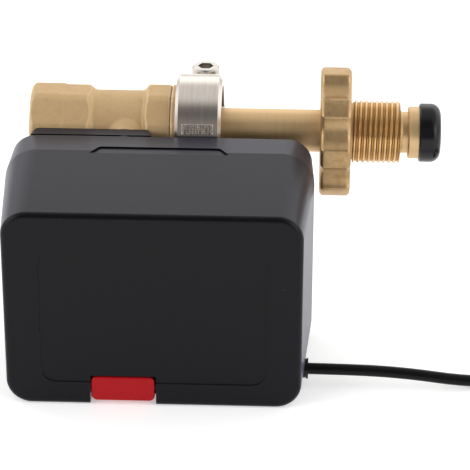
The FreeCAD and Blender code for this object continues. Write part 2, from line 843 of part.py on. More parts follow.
def idler_gear():
    """Small coarse pinion and large fine wheel on one hub."""
    step = 360.0 / idler_pinion_teeth
    pinion = gear_wheel(coarse_module, idler_pinion_teeth, idler_x, idler_z, wheel_y1, sector_y1,
                        90.0 + step / 2, idler_pinion_teeth)
    wheel = gear_wheel(fine_module, idler_wheel_teeth, idler_x, idler_z, wheel_y0, wheel_y1,
                       motor_angle, idler_wheel_teeth)
    root = fine_module * (idler_wheel_teeth / 2 - 1.25)
    rim_inner = root - rim_depth / 2
    hub = idler_pinion_radius
    side = (wheel_width - wheel_web) / 2
    for y in (wheel_y0, wheel_y1 - side):
        wheel = wheel.cut(tube_y(y, y + side, hub, rim_inner, idler_x, idler_z))
    windows = []
    reach = (hub + rim_inner) / 2
    for k in range(wheel_windows):
        a = 2 * math.pi * k / wheel_windows
        windows.append(rod_y(wheel_y0, wheel_y1, (rim_inner - hub) / 3, idler_x + reach * math.cos(a),
                             idler_z + reach * math.sin(a)))
    bore = rod_y(wheel_y0 - past, sector_y1 + past, axle_radius + running, idler_x, idler_z)
    return less(fused(pinion, wheel.cut(windows)), bore)


def motor_pinion():
    step = 360.0 / motor_pinion_teeth
    gear = gear_wheel(fine_module, motor_pinion_teeth, motor_x, motor_z, wheel_y0, wheel_y1,
                      motor_angle + 180.0 + step / 2, motor_pinion_teeth)
    shaft = rod_y(plate_y0 - motor_shaft_depth, wheel_y1 + moving_gap, motor_shaft_radius, motor_x, motor_z)
    return fused(gear, shaft)


def output_shaft():
    """Slotted end outside the wall, flatted middle for the gear and cam, journal in the plate."""
    end_y = bonnet_end_y - 2 * seat - slide
    shoulder = rear_inner_y - bearing_boss_height - slide
    thick = rod_y(shoulder, end_y, shaft_end_radius, ball_x, 0)
    middle = rod_y(plate_y1 + slide, shoulder, shaft_radius, ball_x, 0)
    flat = block(ball_x - shaft_radius, ball_x + shaft_radius, plate_y1, shoulder - slide, shaft_flat,
                 shaft_radius + past)
    journal = rod_y(plate_y0 - slide * 4, plate_y1 + slide, journal_radius, ball_x, 0)
    slot_half = blade_thick / 2 + seat
    slot = block(ball_x - shaft_end_radius, ball_x + shaft_end_radius, end_y - blade_length, end_y,
                 -slot_half, slot_half)
    return less(fused(thick, middle.cut(flat), journal), slot)


def output_bush():
    inner = shaft_end_radius + running
    return tube_y(rear_inner_y - bearing_boss_height, back_y, inner, shaft_end_radius + bush_wall, ball_x, 0)


def switch_cam():
    y0 = plate_y1 + 2 * slide
    y1 = sector_y1 - sector_width - slide
    disc = rod_y(y0, y1, hub_radius, ball_x, 0)
    lobe = block(0, cam_lobe, y0, y1, -cam_lobe_half, cam_lobe_half)
    lobe.rotate(V(0, 0, 0), V(0, -1, 0), cam_direction)
    lobe.translate(V(ball_x, 0, 0))
    round_tip = rod_y(y0, y1, cam_lobe, ball_x, 0)
    return less(fused(disc, lobe.common(round_tip)), d_bore(y0 - past, y1 + past))


def limit_switches():
    """One switch each side of the cam, pushed at the two ends of its quarter turn."""
    solids = []
    y0 = plate_y1
    y1 = y0 + switch_depth
    button_z = cam_lobe * math.sin(math.radians(cam_direction))
    corner = math.radians(-cam_direction) + math.asin(cam_lobe_half / cam_lobe)
    tip = -cam_lobe * math.cos(corner) + switch_touch
    case_near = tip + switch_button_reach
    for side in (-1, 1):
        xs = sorted((ball_x + side * case_near, ball_x + side * (case_near + switch_length)))
        case = block(xs[0], xs[1], y0, y1, switch_top_z - switch_height, switch_top_z)
        xs = sorted((ball_x + side * tip, ball_x + side * (case_near + past)))
        button = rod_x(xs[0], xs[1], switch_button, (y0 + y1) / 2, button_z)
        solids.append(fused(case, button))
    return solids


def motor_screw_places():
    spots = []
    for side in (90.0, -90.0):
        a = math.radians(motor_angle + side)
        spots.append((motor_x + motor_screw_circle * math.cos(a), motor_z + motor_screw_circle * math.sin(a)))
    return spots


def gear_plate():
    plate = rounded_plate(plate_x0, plate_x1, plate_z0, plate_z1, plate_corner, plate_y0, plate_y1)
    places = [(journal_radius + running, ball_x, 0), (axle_radius + seat / 2, idler_x, idler_z),
              (motor_boss_radius + seat, motor_x, motor_z)]
    places += [(small_screw_radius + slide, x, z) for x, z in list(plate_posts) + motor_screw_places()]
    return less(plate, *[rod_y(plate_y0 - past, plate_y1 + past, *place) for place in places])


def plate_screws():
    return [pan_screw(x, z, plate_y0, 1, small_screw_radius, small_screw_length, small_head_radius,
                      small_head_height) for x, z in plate_posts]


def motor_screws():
    return [pan_screw(x, z, plate_y1, -1, small_screw_radius, plate_thick + motor_screw_bite, small_head_radius,
                      small_head_height / 2) for x, z in motor_screw_places()]


def idler_axle():
    return rod_y(plate_y0 - slide * 3, rear_inner_y + slide * 4, axle_radius, idler_x, idler_z)


def gear_motor():
    """Closed can: motor behind, gearhead in front, two solder tabs at its rear end."""
    back = plate_y0 - motor_length
    can = rod_y(back, plate_y0, motor_radius, motor_x, motor_z)
    grooves = []
    for k in range(2):
        y = plate_y0 - gearhead_length - k * groove_pitch
        grooves.append(tube_y(y - motor_rib, y, motor_radius - motor_rib, motor_radius + past, motor_x, motor_z))
    boss = rod_y(plate_y0, plate_y0 + motor_boss_height, motor_boss_radius, motor_x, motor_z)
    tabs = []
    for side in (-1, 1):
        x = motor_x + side * tab_reach
        tabs.append(block(x - tab_width / 2, x + tab_width / 2, back - tab_length, back,
                          motor_z - tab_thick / 2, motor_z + tab_thick / 2))
    bore = rod_y(plate_y0 - motor_shaft_depth - past, plate_y0 + motor_boss_height,
                 motor_shaft_radius + running, motor_x, motor_z)
    holes = [rod_y(plate_y0 - motor_screw_bite - 2 * seat, plate_y0, small_screw_radius + seat, x, z)
             for x, z in motor_screw_places()]
    return less(fused(can, boss, *tabs), bore, *(grooves + holes))


# Circuit board
def circuit_board():
    board = block(board_x0, board_x1, board_y0, board_y0 + board_thick, board_z0, board_z1)
    holes = [rod_y(board_y0, board_y0 + board_thick, small_screw_radius + slide, x, z) for x, z in board_holes]
    return less(board, *holes)


def board_parts():
    """Relay, terminal block, capacitor and controller on the board's inner face."""
    y = board_y0 + board_thick
    relay_x1 = board_x1 - relay_inset_x
    relay_z1 = board_z1 - relay_inset_z
    relay = block(relay_x1 - relay_side, relay_x1, y, y + relay_height, relay_z1 - relay_side, relay_z1)
    terminal_x1 = board_x1 - terminal_inset_x
    terminal_z0 = board_z0 + terminal_inset_z
    terminals = block(terminal_x1 - terminal_width, terminal_x1, y, y + terminal_height, terminal_z0,
                      terminal_z0 + terminal_length)
    capacitor = rod_y(y, y + capacitor_height, capacitor_radius, board_x1 - capacitor_inset_x,
                      board_z0 + capacitor_rise_z)
    controller_x0 = board_x0 + controller_inset_x
    controller_z1 = board_z1 - controller_inset_z
    controller = block(controller_x0, controller_x0 + controller_side, y, y + controller_height,
                       controller_z1 - controller_side, controller_z1)
    return [relay, terminals, capacitor, controller]


def board_screws():
    length = board_thick + board_stand - 2 * seat
    return [pan_screw(x, z, board_y0 + board_thick, -1, small_screw_radius, length, small_head_radius,
                      board_head_height) for x, z in board_holes]


# Release latch
def release_latch():
    y0 = front_y + latch_set_back
    y1 = y0 + latch_depth
    cap = rounded_plate(latch_x0, latch_x1, latch_z0, latch_z1, latch_corner, y0, y1)
    cap = cap.makeFillet(latch_edge_round, face_edges_at(cap, y0))
    hollow = rounded_plate(latch_x0 + latch_skin, latch_x1 - latch_skin, latch_z0 + latch_skin,
                           latch_z1 - latch_skin, latch_corner - latch_skin / 2, y0 + latch_skin, y1)
    rail_z = (latch_z0 + latch_z1) / 2
    rail_y0 = front_y + rail_front
    rails = block(latch_x0 - rail_reach, latch_x1 + rail_reach, rail_y0, rail_y0 + rail_length,
                  rail_z - rail_height / 2, rail_z + rail_height / 2)
    pad = rod_y(y0 + latch_skin / 2, y1, spring_pad_radius, (latch_x0 + latch_x1) / 2, rail_z)
    return fused(cap.cut(hollow), rails.cut(hollow), pad)


def latch_spring():
    """Bowed leaf: its ends bear on the pocket's end wall and its crown on the latch."""
    y0 = front_y + latch_set_back + latch_depth + seat
    y1 = front_y + pocket_depth - seat
    middle = (latch_x0 + latch_x1) / 2
    z0 = (latch_z0 + latch_z1 - leaf_height) / 2
    outer = leaf_span / 2
    inner = outer - 1.5 * leaf_thick
    bow = [Part.Arc(V(middle - outer, y1, z0), V(middle, y0, z0), V(middle + outer, y1, z0)).toShape(),
           Part.LineSegment(V(middle + outer, y1, z0), V(middle + inner, y1, z0)).toShape(),
           Part.Arc(V(middle + inner, y1, z0), V(middle, y0 + leaf_thick, z0),
                    V(middle - inner, y1, z0)).toShape(),
           Part.LineSegment(V(middle - inner, y1, z0), V(middle - outer, y1, z0)).toShape()]
    return Part.Face(Part.Wire(bow)).extrude(V(0, 0, leaf_height))


# Clamp
def clamp_band():
    inner = land_radius + 2 * seat
    ring = turned_x([(clamp_x0, inner), (clamp_x0, clamp_radius - clamp_bevel),
                     (clamp_x0 + clamp_bevel, clamp_radius), (clamp_x1 - clamp_bevel, clamp_radius),
                     (clamp_x1, clamp_radius - clamp_bevel), (clamp_x1, inner)])
    ear_top = clamp_split / 2 + ear_thick
    ears = block(ear_x0, clamp_x1, inner + past, ear_reach_y, -ear_top, ear_top)
    ears = ears.makeChamfer(ear_chamfer, face_edges_at(ears, ear_reach_y))
    foot = block(clamp_x0, clamp_x1, back_y, back_y + foot_thick, foot_low_z, foot_top_z)
    saddle = block(clamp_x0 + saddle_inset, clamp_x1 - saddle_inset, back_y + foot_thick, -inner - past,
                   -saddle_half_height, foot_top_z - saddle_drop)
    band = fused(ring, ears, foot, saddle, *serrations())
    split = block(clamp_x0 - past, clamp_x1 + past, inner - 2 * past, ear_reach_y + past, -clamp_split / 2,
                  clamp_split / 2)
    screw_hole = rod_z(-ear_top, ear_top, cap_screw_radius + running, clamp_mid_x, clamp_screw_y)
    holes = [rod_y(back_y, back_y + foot_thick, small_screw_radius + slide, x, z) for x, z in foot_screws]
    return less(band, split, screw_hole, *holes)


def serrations():
    """Short raised bars across the front of the band, side by side along it."""
    bars = []
    clear = clamp_bevel + serration_margin
    pitch = (clamp_x1 - clamp_x0 - 2 * clear) / serration_count
    half_width = pitch * serration_share / 2
    middle = (serration_low + serration_high) / 2
    half_length = clamp_radius * math.radians(serration_high - serration_low) / 2
    for k in range(serration_count):
        x = clamp_x0 + clear + pitch * (k + 0.5)
        bar = block(x - half_width, x + half_width, -clamp_radius - serration_height,
                    serration_root - clamp_radius, -half_length, half_length)
        bar.rotate(V(0, 0, 0), V(-1, 0, 0), middle)
        bars.append(bar)
    return bars


def clamp_screw():
    ear_top = clamp_split / 2 + ear_thick
    x, y = clamp_mid_x, clamp_screw_y
    head_z = ear_top + seat
    head = rod_z(head_z, head_z + cap_head_height, cap_head_radius, x, y)
    top_edge = [e for e in head.Edges if e.BoundBox.ZMin > head_z + cap_head_height - 1e-4]
    head = head.makeChamfer(cap_edge, top_edge)
    shank = rod_z(-ear_top - hex_nut_height - cap_tip_reach, head_z, cap_screw_radius, x, y)
    socket = hexagon_z(cap_socket_flats, head_z + cap_head_height - cap_socket_depth,
                       head_z + cap_head_height + past, x, y)
    return less(fused(head, shank), socket)


def clamp_nut():
    top = -(clamp_split / 2 + ear_thick)
    nut = hexagon_z(hex_nut_flats, top - hex_nut_height, top, clamp_mid_x, clamp_screw_y)
    hole = rod_z(top - hex_nut_height, top, cap_screw_radius + running, clamp_mid_x, clamp_screw_y)
    return nut.cut(hole)


def clamp_foot_screws():
    length = foot_thick + back_wall + foot_boss_length
    return [pan_screw(x, z, back_y + foot_thick, -1, small_screw_radius, length, small_head_radius,
                      small_head_height) for x, z in foot_screws]


# Cylinder connector
def pol_nipple():
    core_end = nose_end_x - core_set_back
    solid = turned_x([(cap_start_x + seat, 0), (cap_start_x + seat, tail_radius), (cap_end_x, tail_radius),
                      (cap_end_x, tube_radius), (neck_x0, tube_radius), (neck_x0 + turned_edge, neck_radius),
                      (flange_x0, neck_radius), (flange_x0, flange_radius - turned_edge),
                      (flange_x0 + turned_edge, flange_radius), (flange_x1, flange_radius),
                      (flange_x1, core_radius), (core_end - core_edge, core_radius),
                      (core_end, core_radius - core_edge), (core_end, 0)])
    flare = cone_x(cap_start_x, cap_start_x + flare_length, ball_bore, tube_bore)
    return less(solid, rod_x(cap_start_x, nose_end_x, tube_bore), flare)


def nose_seal():
    """Rubber nose: a ring on the nipple's core with a fully rounded front."""
    inner = core_radius + seat
    x0 = flange_x1 + seat
    side = nose_end_x - nose_round
    k = nose_round * (1 - math.sqrt(0.5))
    edge = nose_back_edge
    outline = [Part.LineSegment(V(x0, 0, inner), V(x0, 0, nose_radius - edge)).toShape(),
               Part.LineSegment(V(x0, 0, nose_radius - edge), V(x0 + edge, 0, nose_radius)).toShape(),
               Part.LineSegment(V(x0 + edge, 0, nose_radius), V(side, 0, nose_radius)).toShape(),
               Part.Arc(V(side, 0, nose_radius), V(nose_end_x - k, 0, nose_radius - k),
                        V(nose_end_x, 0, nose_radius - nose_round)).toShape(),
               Part.LineSegment(V(nose_end_x, 0, nose_radius - nose_round),
                                V(nose_end_x, 0, inner)).toShape(),
               Part.LineSegment(V(nose_end_x, 0, inner), V(x0, 0, inner)).toShape()]
    return Part.Face(Part.Wire(outline)).revolve(V(0, 0, 0), FLOW, 360)


def pol_nut():
    """Hand wheel with scalloped rim and a threaded spigot, free to turn on the tube."""
    bore = tube_radius + running + seat
    wheel = turned_x([(nut_x0, bore), (nut_x0, wheel_radius - wheel_chamfer),
                      (nut_x0 + wheel_chamfer, wheel_radius), (wheel_x1 - wheel_chamfer, wheel_radius),
                      (wheel_x1, wheel_radius - wheel_chamfer), (wheel_x1, bore)])
    scallops = []
    reach = wheel_radius - scallop_depth + scallop_radius
    for k in range(wheel_lobes):
        a = math.radians(scallop_phase + 360.0 * k / wheel_lobes)
        y, z = -reach * math.cos(a), reach * math.sin(a)
        scallops.append(rod_x(nut_x0, wheel_x1, scallop_radius, y, z))
        scallops.append(cone_x(nut_x0, nut_x0 + wheel_chamfer, scallop_radius + wheel_chamfer,
                               scallop_radius, y, z))
        scallops.append(cone_x(wheel_x1 - wheel_chamfer, wheel_x1, scallop_radius,
                               scallop_radius + wheel_chamfer, y, z))
    root = wheel_x1 - past
    spigot = turned_x([(root, bore), (root, nut_neck_radius), (thread_x0, nut_neck_radius),
                       (thread_x0, thread_radius), (thread_x1 - thread_chamfer, thread_radius),
                       (thread_x1, thread_radius - thread_chamfer), (thread_x1, bore)])
    return fused(wheel.cut(scallops), spigot)


# Cable
def route(points):
    """Straight runs joined by tangent arcs; returns the wire and its radii."""
    vectors = [V(*p) for p in points]
    edges = []
    radii = []
    here = vectors[0]
    for before, corner, after in zip(vectors, vectors[1:], vectors[2:]):
        run_in = corner - before
        run_out = after - corner
        turn = run_in.getAngle(run_out)
        short = min(run_in.Length, run_out.Length)
        back_off = bend_share * short
        radius = back_off / math.tan(turn / 2)
        radii.append(round(radius, 1))
        a = corner - run_in * (back_off / run_in.Length)
        b = corner + run_out * (back_off / run_out.Length)
        to_centre = (a + b) * 0.5 - corner
        to_centre.normalize()
        middle = corner + to_centre * (radius / math.cos(turn / 2) - radius)
        edges.append(Part.LineSegment(here, a).toShape())
        edges.append(Part.Arc(a, middle, b).toShape())
        here = b
    edges.append(Part.LineSegment(here, vectors[-1]).toShape())
    return Part.Wire(edges), radii


def tube_along(points, radius):
    wire, radii = route(points)
    direction = V(*points[1]) - V(*points[0])
    section = Part.Wire(Part.makeCircle(radius, V(*points[0]), direction))
    tube = wire.makePipeShell([section], True, True)
    expected = math.pi * radius ** 2 * wire.Length
    print("cable radii", radii, "length", round(wire.Length, 1), "volume ratio",
          round(tube.Volume / expected, 4))
    return tube


def coil_frame():
    """Centre of the coil and the direction angle of its first point, from the cable's last run."""
    last = V(*cable_points[-1])
    heading = last - V(*cable_points[-2])
    angle = math.atan2(heading.y, heading.x)
    outer = coil_middle_radius + coil_pitch * (coil_columns - 1) / 2
    centre = last + V(-math.sin(angle), math.cos(angle), 0) * outer
    return centre, angle - math.pi / 2, outer


def cable_coil():
    centre, start, outer = coil_frame()
    inner_edge = outer - coil_pitch * (coil_columns - 1) - cable_radius
    height = coil_pitch * (coil_rows - 1) + 2 * cable_radius
    ring = Part.makeCylinder(outer + cable_radius, height, V(centre.x, centre.y, box_bottom_z), UP)
    ring = ring.cut(Part.makeCylinder(inner_edge, height, V(centre.x, centre.y, box_bottom_z), UP))
    return ring.makeChamfer(coil_edge, [e for e in ring.Edges if e.Curve.TypeId == "Part::GeomCircle"])


def tail_route():
    centre, start, outer = coil_frame()
    angle = start + 2 * math.pi * coil_exit_turn
    z = box_bottom_z + cable_radius + coil_pitch * (coil_rows - 1)
    return [(centre.x + outer * math.cos(angle), centre.y + outer * math.sin(angle), z)] + tail_points


def power_cable():
    return [tube_along(cable_points, cable_radius), tube_along(tail_route(), cable_radius)]


def dc_plug():
    """Moulded barrel plug with a tapered neck; its socket is open at the tip."""
    end = V(*tail_points[-1])
    direction = end - V(*tail_points[-2])
    direction.z = 0
    direction.normalize()
    neck = Part.makeCone(plug_neck_radius, plug_radius, plug_neck_length, end, direction)
    body_start = end + direction * plug_neck_length
    body = Part.makeCylinder(plug_radius, plug_length - plug_neck_length, body_start, direction)
    tip_start = end + direction * plug_length
    barrel = Part.makeCylinder(plug_barrel_radius, plug_barrel_length, tip_start, direction)
    hole = Part.makeCylinder(plug_barrel_bore, plug_barrel_length, tip_start + direction * plug_hole_floor,
                             direction)
    return less(fused(neck, body, barrel), hole)


def cable_grommet():
    """Rubber ring in the side wall, with a lip inside it and a thin collar outside."""
    y, z = cable_points[0][1:]
    t = (y - front_y) / (seam_y - front_y)
    wall_out = box_mid_x + (front_width + (seam_width - front_width) * t) / 2
    wall_in = wall_out - shell_wall
    collar_x0 = wall_out + grommet_collar_gap
    collar_x1 = collar_x0 + grommet_collar
    lip_x1 = wall_in - grommet_lip_gap
    inside = rod_x(lip_x1 - grommet_lip, lip_x1, grommet_flange, y, z)
    inside = inside.common(housing_form(front_inner_y, seam_y, shell_wall + seat))
    middle = rod_x(lip_x1, collar_x0, grommet_radius, y, z)
    outside = rod_x(collar_x0, collar_x1, grommet_collar_radius, y, z)
    bore = rod_x(lip_x1 - grommet_lip - past, collar_x1 + past, cable_radius + seat, y, z)
    return less(fused(inside, middle, outside), bore)


# Write every piece
os.makedirs("parts", exist_ok=True)
save("front_housing", front_housing())
save("rear_housing", rear_housing())
save("housing_seal", housing_seal())
save("housing_screws", *housing_screws())
save("gear_plate", gear_plate())
save("plate_screws", *plate_screws())
save("idler_axle", idler_axle())
save("idler_gear", idler_gear())
save("gear_motor", gear_motor())
save("motor_screws", *motor_screws())
save("motor_pinion", motor_pinion())
save("sector_gear", sector_gear())
save("output_shaft", output_shaft())
save("output_bush", output_bush())
save("switch_cam", switch_cam())
save("limit_switches", *limit_switches())
save("circuit_board", circuit_board())
save("board_parts", *board_parts())
save("board_screws", *board_screws())
save("release_latch", release_latch())
save("latch_spring", latch_spring())
save("cable_grommet", cable_grommet())
save("power_cable", *power_cable())
save("cable_coil", cable_coil())
save("dc_plug", dc_plug())
save("valve_body", valve_body())
save("valve_end_cap", valve_end_cap())
save("valve_ball", valve_ball())
save("seat_rings", *seat_rings())
save("valve_stem", valve_stem())
save("stem_seals", *stem_seals())
save("gland_nut", gland_nut())
save("pol_nipple", pol_nipple())
save("nose_seal", nose_seal())
save("pol_nut", pol_nut())
save("clamp_band", clamp_band())
save("clamp_screw", clamp_screw())
save("clamp_nut", clamp_nut())
save("clamp_foot_screws", *clamp_foot_screws())
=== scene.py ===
# %% [markdown]
# # A motorized ball valve
#
# The object is a black drive box with a brass ball valve clamped across its back. A
# quarter turn of the ball opens or shuts the gas way, and a motor and a gear train in the
# box turn it. The outlet tube carries a hand wheel nut with a left-hand cylinder thread.
#
# The construction comes as a fixed frame: every piece at its real size and place. This
# file gives each piece its finish, and models what the frame leaves plain: the forged
# skin of the brass, the threads, the clamp's grip patch, and the cable with its put-away
# coil.

# %% Tools and the frame
import json
import math
import random

import bmesh
import bpy
from mathutils import Matrix, Vector


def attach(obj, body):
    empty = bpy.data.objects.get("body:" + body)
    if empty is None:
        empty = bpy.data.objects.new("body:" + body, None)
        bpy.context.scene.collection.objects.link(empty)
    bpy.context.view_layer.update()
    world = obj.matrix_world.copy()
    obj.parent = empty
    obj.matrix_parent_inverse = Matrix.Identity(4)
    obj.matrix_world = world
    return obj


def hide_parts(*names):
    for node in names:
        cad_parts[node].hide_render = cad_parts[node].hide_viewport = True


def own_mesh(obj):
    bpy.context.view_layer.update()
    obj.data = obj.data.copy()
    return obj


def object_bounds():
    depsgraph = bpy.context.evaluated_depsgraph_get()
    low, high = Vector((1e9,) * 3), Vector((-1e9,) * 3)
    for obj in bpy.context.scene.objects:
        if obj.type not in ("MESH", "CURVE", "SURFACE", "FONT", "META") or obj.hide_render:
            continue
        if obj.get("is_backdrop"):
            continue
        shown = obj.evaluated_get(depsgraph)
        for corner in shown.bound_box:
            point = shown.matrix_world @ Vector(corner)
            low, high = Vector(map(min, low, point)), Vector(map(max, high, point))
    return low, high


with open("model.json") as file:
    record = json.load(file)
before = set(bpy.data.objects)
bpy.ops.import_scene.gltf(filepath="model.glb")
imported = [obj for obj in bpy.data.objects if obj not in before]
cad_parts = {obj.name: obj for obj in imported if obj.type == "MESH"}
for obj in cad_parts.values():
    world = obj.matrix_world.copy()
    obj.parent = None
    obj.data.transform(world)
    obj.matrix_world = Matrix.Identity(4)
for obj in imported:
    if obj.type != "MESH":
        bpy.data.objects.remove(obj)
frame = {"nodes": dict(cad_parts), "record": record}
cad_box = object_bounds()
scene = bpy.context.scene

# %% [markdown]
# ## Units
#
# The frame is in metres, and a maker of valves thinks in millimetres. One factor turns
# the one into the other, so that every size below can be read as a real one.

# %% Millimetres
MM = 0.001


def mm(*values):
    return Vector([v * MM for v in values])


print("the frame's box in mm:", [[round(c / MM, 1) for c in corner] for corner in cad_box])

# %% [markdown]
# ## The camera
#
# The photograph was taken from a little above, with a long lens. The box's edges fix the
# viewing angle, and how they converge fixes the distance. The camera is placed from the
# point that it looks at, turned by three angles, and its lens follows from the focal
# length in pixels, because a sensor is 36 mm wide in Blender.

# %% Camera
SENSOR = 36.0
PHOTO_WIDTH = 470
FOCAL_PIXELS = 2332.6
AIM = mm(72.06, 0.0, -42.24)
AIM_DISTANCE = 848.8 * MM
AZIMUTH = math.radians(1.9)
ELEVATION = math.radians(27.05)
ROLL = math.radians(0.26)

back = Vector((math.sin(AZIMUTH) * math.cos(ELEVATION),
               -math.cos(AZIMUTH) * math.cos(ELEVATION),
               math.sin(ELEVATION)))
level_right = Vector((math.cos(AZIMUTH), math.sin(AZIMUTH), 0))
level_up = back.cross(level_right)
right = level_right * math.cos(ROLL) + level_up * math.sin(ROLL)
up = level_up * math.cos(ROLL) - level_right * math.sin(ROLL)

lens = bpy.data.cameras.new("camera")
lens.sensor_width = SENSOR
lens.lens = SENSOR * FOCAL_PIXELS / PHOTO_WIDTH
lens.clip_start = 0.05
lens.clip_end = 20
camera = bpy.data.objects.new("camera", lens)
camera.matrix_world = Matrix.Translation(AIM + back * AIM_DISTANCE) @ Matrix((
    (right.x, up.x, back.x), (right.y, up.y, back.y), (right.z, up.z, back.z))).to_4x4()
scene.collection.objects.link(camera)
scene.camera = camera
camera_place = [round(v, 3) for v in camera.matrix_world.translation]
print("lens", round(lens.lens, 1), "mm, camera at", camera_place)

# %% [markdown]
# ## Colours and nodes
#
# Colours are given as sRGB hex, and shaders want linear light, so one function
# turns the one into the other. A second one adds a shader node with its settings and
# inputs in a single call, which keeps the materials below short enough to read.

# %% Colours and nodes


def hex_colour(code):
    channels = [int(code[i:i + 2], 16) / 255 for i in (1, 3, 5)]
    linear = [c / 12.92 if c <= 0.04045 else ((c + 0.055) / 1.055) ** 2.4 for c in channels]
    return (*linear, 1.0)


def add(tree, kind, inputs, settings=None):
    """Adds a node; an input is a plain value or another node's output."""
    node = tree.nodes.new(kind)
    for name, value in (settings or {}).items():
        setattr(node, name, value)
    for key, value in inputs.items():
        if isinstance(value, bpy.types.NodeSocket):
            tree.links.new(value, node.inputs[key])
        else:
            node.inputs[key].default_value = value
    return node


print("the middle grey #808080 is", round(hex_colour("#808080")[0], 3), "in linear light")

# %% [markdown]
# ## A finish that wanders
#
# Nearly every real surface wanders a little in tone and in gloss, and one flat colour
# would look like a toy. A mottled pattern, whose spots have a size in millimetres, drives
# the tone, the roughness and a slight relief together. It lies on the object's own
# coordinates, so nothing has to be unwrapped.
#
# A scuff, a rubbed edge or dirt in a groove is one more tone, laid over the finish where
# some value passes from a start to a full strength.

# %% A finish that wanders
OCTAVE_STRENGTH = 0.6


def mottle(tree, size_mm, stretch, detail):
    """A pattern of spots of a real size; a small stretch draws them out along that axis."""
    place = add(tree, "ShaderNodeTexCoord", {}).outputs["Object"]
    scaled = add(tree, "ShaderNodeMapping", {"Vector": place, "Scale": stretch})
    texture = add(tree, "ShaderNodeTexNoise",
                  {"Vector": scaled.outputs["Vector"], "Scale": 1 / (size_mm * MM),
                   "Detail": detail, "Roughness": OCTAVE_STRENGTH})
    return texture.outputs["Fac"]


def finish(name, dark, light, size_mm, roughness, fixed=None, stretch=(1, 1, 1), detail=3.0,
           relief_mm=0.0):
    """It wanders between the tones dark and light; fixed holds the shader's plain values."""
    material = bpy.data.materials.new(name)
    material.use_nodes = True
    tree = material.node_tree
    tree.nodes.clear()
    wander = mottle(tree, size_mm, stretch, detail)
    tone = add(tree, "ShaderNodeMix", {0: wander, 6: hex_colour(dark), 7: hex_colour(light)},
               {"data_type": "RGBA"})
    gloss = add(tree, "ShaderNodeMapRange", {"Value": wander, "To Min": roughness[0],
                                             "To Max": roughness[1]})
    inputs = {"Base Color": tone.outputs[2], "Roughness": gloss.outputs["Result"],
              **(fixed or {})}
    if relief_mm:
        relief = add(tree, "ShaderNodeBump", {"Height": wander, "Distance": relief_mm * MM})
        inputs["Normal"] = relief.outputs["Normal"]
    shader = add(tree, "ShaderNodeBsdfPrincipled", inputs)
    add(tree, "ShaderNodeOutputMaterial", {"Surface": shader.outputs["BSDF"]})
    return material


def overlay(material, value, start, full, colour):
    """Lays the colour over a finish: none of it at start, all of it at full."""
    tree = material.node_tree
    shader = next(n for n in tree.nodes if n.type == "BSDF_PRINCIPLED")
    colour_input = shader.inputs["Base Color"]
    below = colour_input.links[0].from_socket
    mask = add(tree, "ShaderNodeMapRange",
               {"Value": value, "From Min": start, "From Max": full})
    both = add(tree, "ShaderNodeMix",
               {0: mask.outputs["Result"], 6: below, 7: hex_colour(colour)},
               {"data_type": "RGBA"})
    tree.links.new(both.outputs[2], colour_input)


print("each finer layer of a mottle counts", OCTAVE_STRENGTH, "of the layer above it")

# %% [markdown]
# ## Moulded plastics
#
# The two half shells are injection moulded in black ABS. The tool is spark eroded, so the
# plastic has a fine even grain: no mirror image, but a soft sheen that grows where the
# surface is seen at a flat angle. It turns the top face grey and draws a bright edge
# along the side walls. Handling leaves a few faint pale scuffs. The latch is a small,
# smoother moulding in solid red.

# %% Black and red ABS
LOW_GLOSS = {"Specular IOR Level": 0.16}
GRAIN_SHEEN = {"Sheen Weight": 0.20, "Sheen Roughness": 0.4,
               "Sheen Tint": hex_colour("#dcdcff")}

abs_black = finish("spark-eroded black ABS", "#050507", "#09090c", 0.5, (0.28, 0.34),
                   {**LOW_GLOSS, **GRAIN_SHEEN}, detail=2.0, relief_mm=0.006)
scuffs = mottle(abs_black.node_tree, 3.0, (1.0, 1.0, 1.7), 7.0)
overlay(abs_black, scuffs, 0.70, 0.78, "#303035")
abs_red = finish("moulded red ABS", "#a10a12", "#ab0e16", 5.0, (0.34, 0.40), LOW_GLOSS,
                 detail=1.0)
print("plastics:", abs_black.name, "and", abs_red.name)

# %% [markdown]
# ## Forged brass
#
# Metal has no colour of its own apart from the tint of its reflections, so the base
# colour is that tint, and the roughness decides whether an image shows in it.
#
# The valve and the hand wheel are hot forged. The valve is then blasted with fine shot.
# Its skin is so finely pitted, and so thinly tarnished, that part of its light is
# scattered as from paint: half metal, half matt. Its convex edges are painted a little
# lighter: partly rubbing, partly a painted highlight. The wheel is brushed after forging,
# so it is smoother and more metallic.

# %% Forged brass
HALF_METAL = {"Metallic": 0.45}
BRUSHED_METAL = {"Metallic": 0.9}
EVEN = (1.0, 1.0, 1.0)

brass_forged = finish("forged and blasted brass", "#bb996b", "#d5b78a", 0.5, (0.52, 0.66),
                      HALF_METAL, detail=5.0, relief_mm=0.07)
tarnish = mottle(brass_forged.node_tree, 6.0, EVEN, 4.0)
overlay(brass_forged, tarnish, 0.52, 0.72, "#c2a273")
# Painted highlight, with some rubbing: convex edges, found by pointiness, are painted lighter.
edges = add(brass_forged.node_tree, "ShaderNodeNewGeometry", {}).outputs["Pointiness"]
overlay(brass_forged, edges, 0.510, 0.550, "#e8d0aa")
brass_wheel = finish("forged and brushed brass", "#ac8b61", "#ccae82", 0.4, (0.34, 0.48),
                     BRUSHED_METAL, stretch=(1.0, 0.25, 0.25), detail=4.0, relief_mm=0.04)
handling = mottle(brass_wheel.node_tree, 5.0, EVEN, 4.0)
overlay(brass_wheel, handling, 0.50, 0.72, "#a5855a")
print("forged:", brass_forged.name, "and", brass_wheel.name)

# %% [markdown]
# ## Turned brass
#
# The tube and the nose are turned on a lathe, which leaves fine rings round the axis: a
# mottle squeezed so that it changes quickly along X and hardly round it. In the cut
# threads the grooves are painted darker as painted shade, so the tone grows darker
# towards the axis.

# %% Turned brass
METAL = {"Metallic": 1.0}
LATHE = (1.0, 0.03, 0.03)
THREAD_TOP_MM = 11.0
THREAD_FLOOR_MM = 10.4


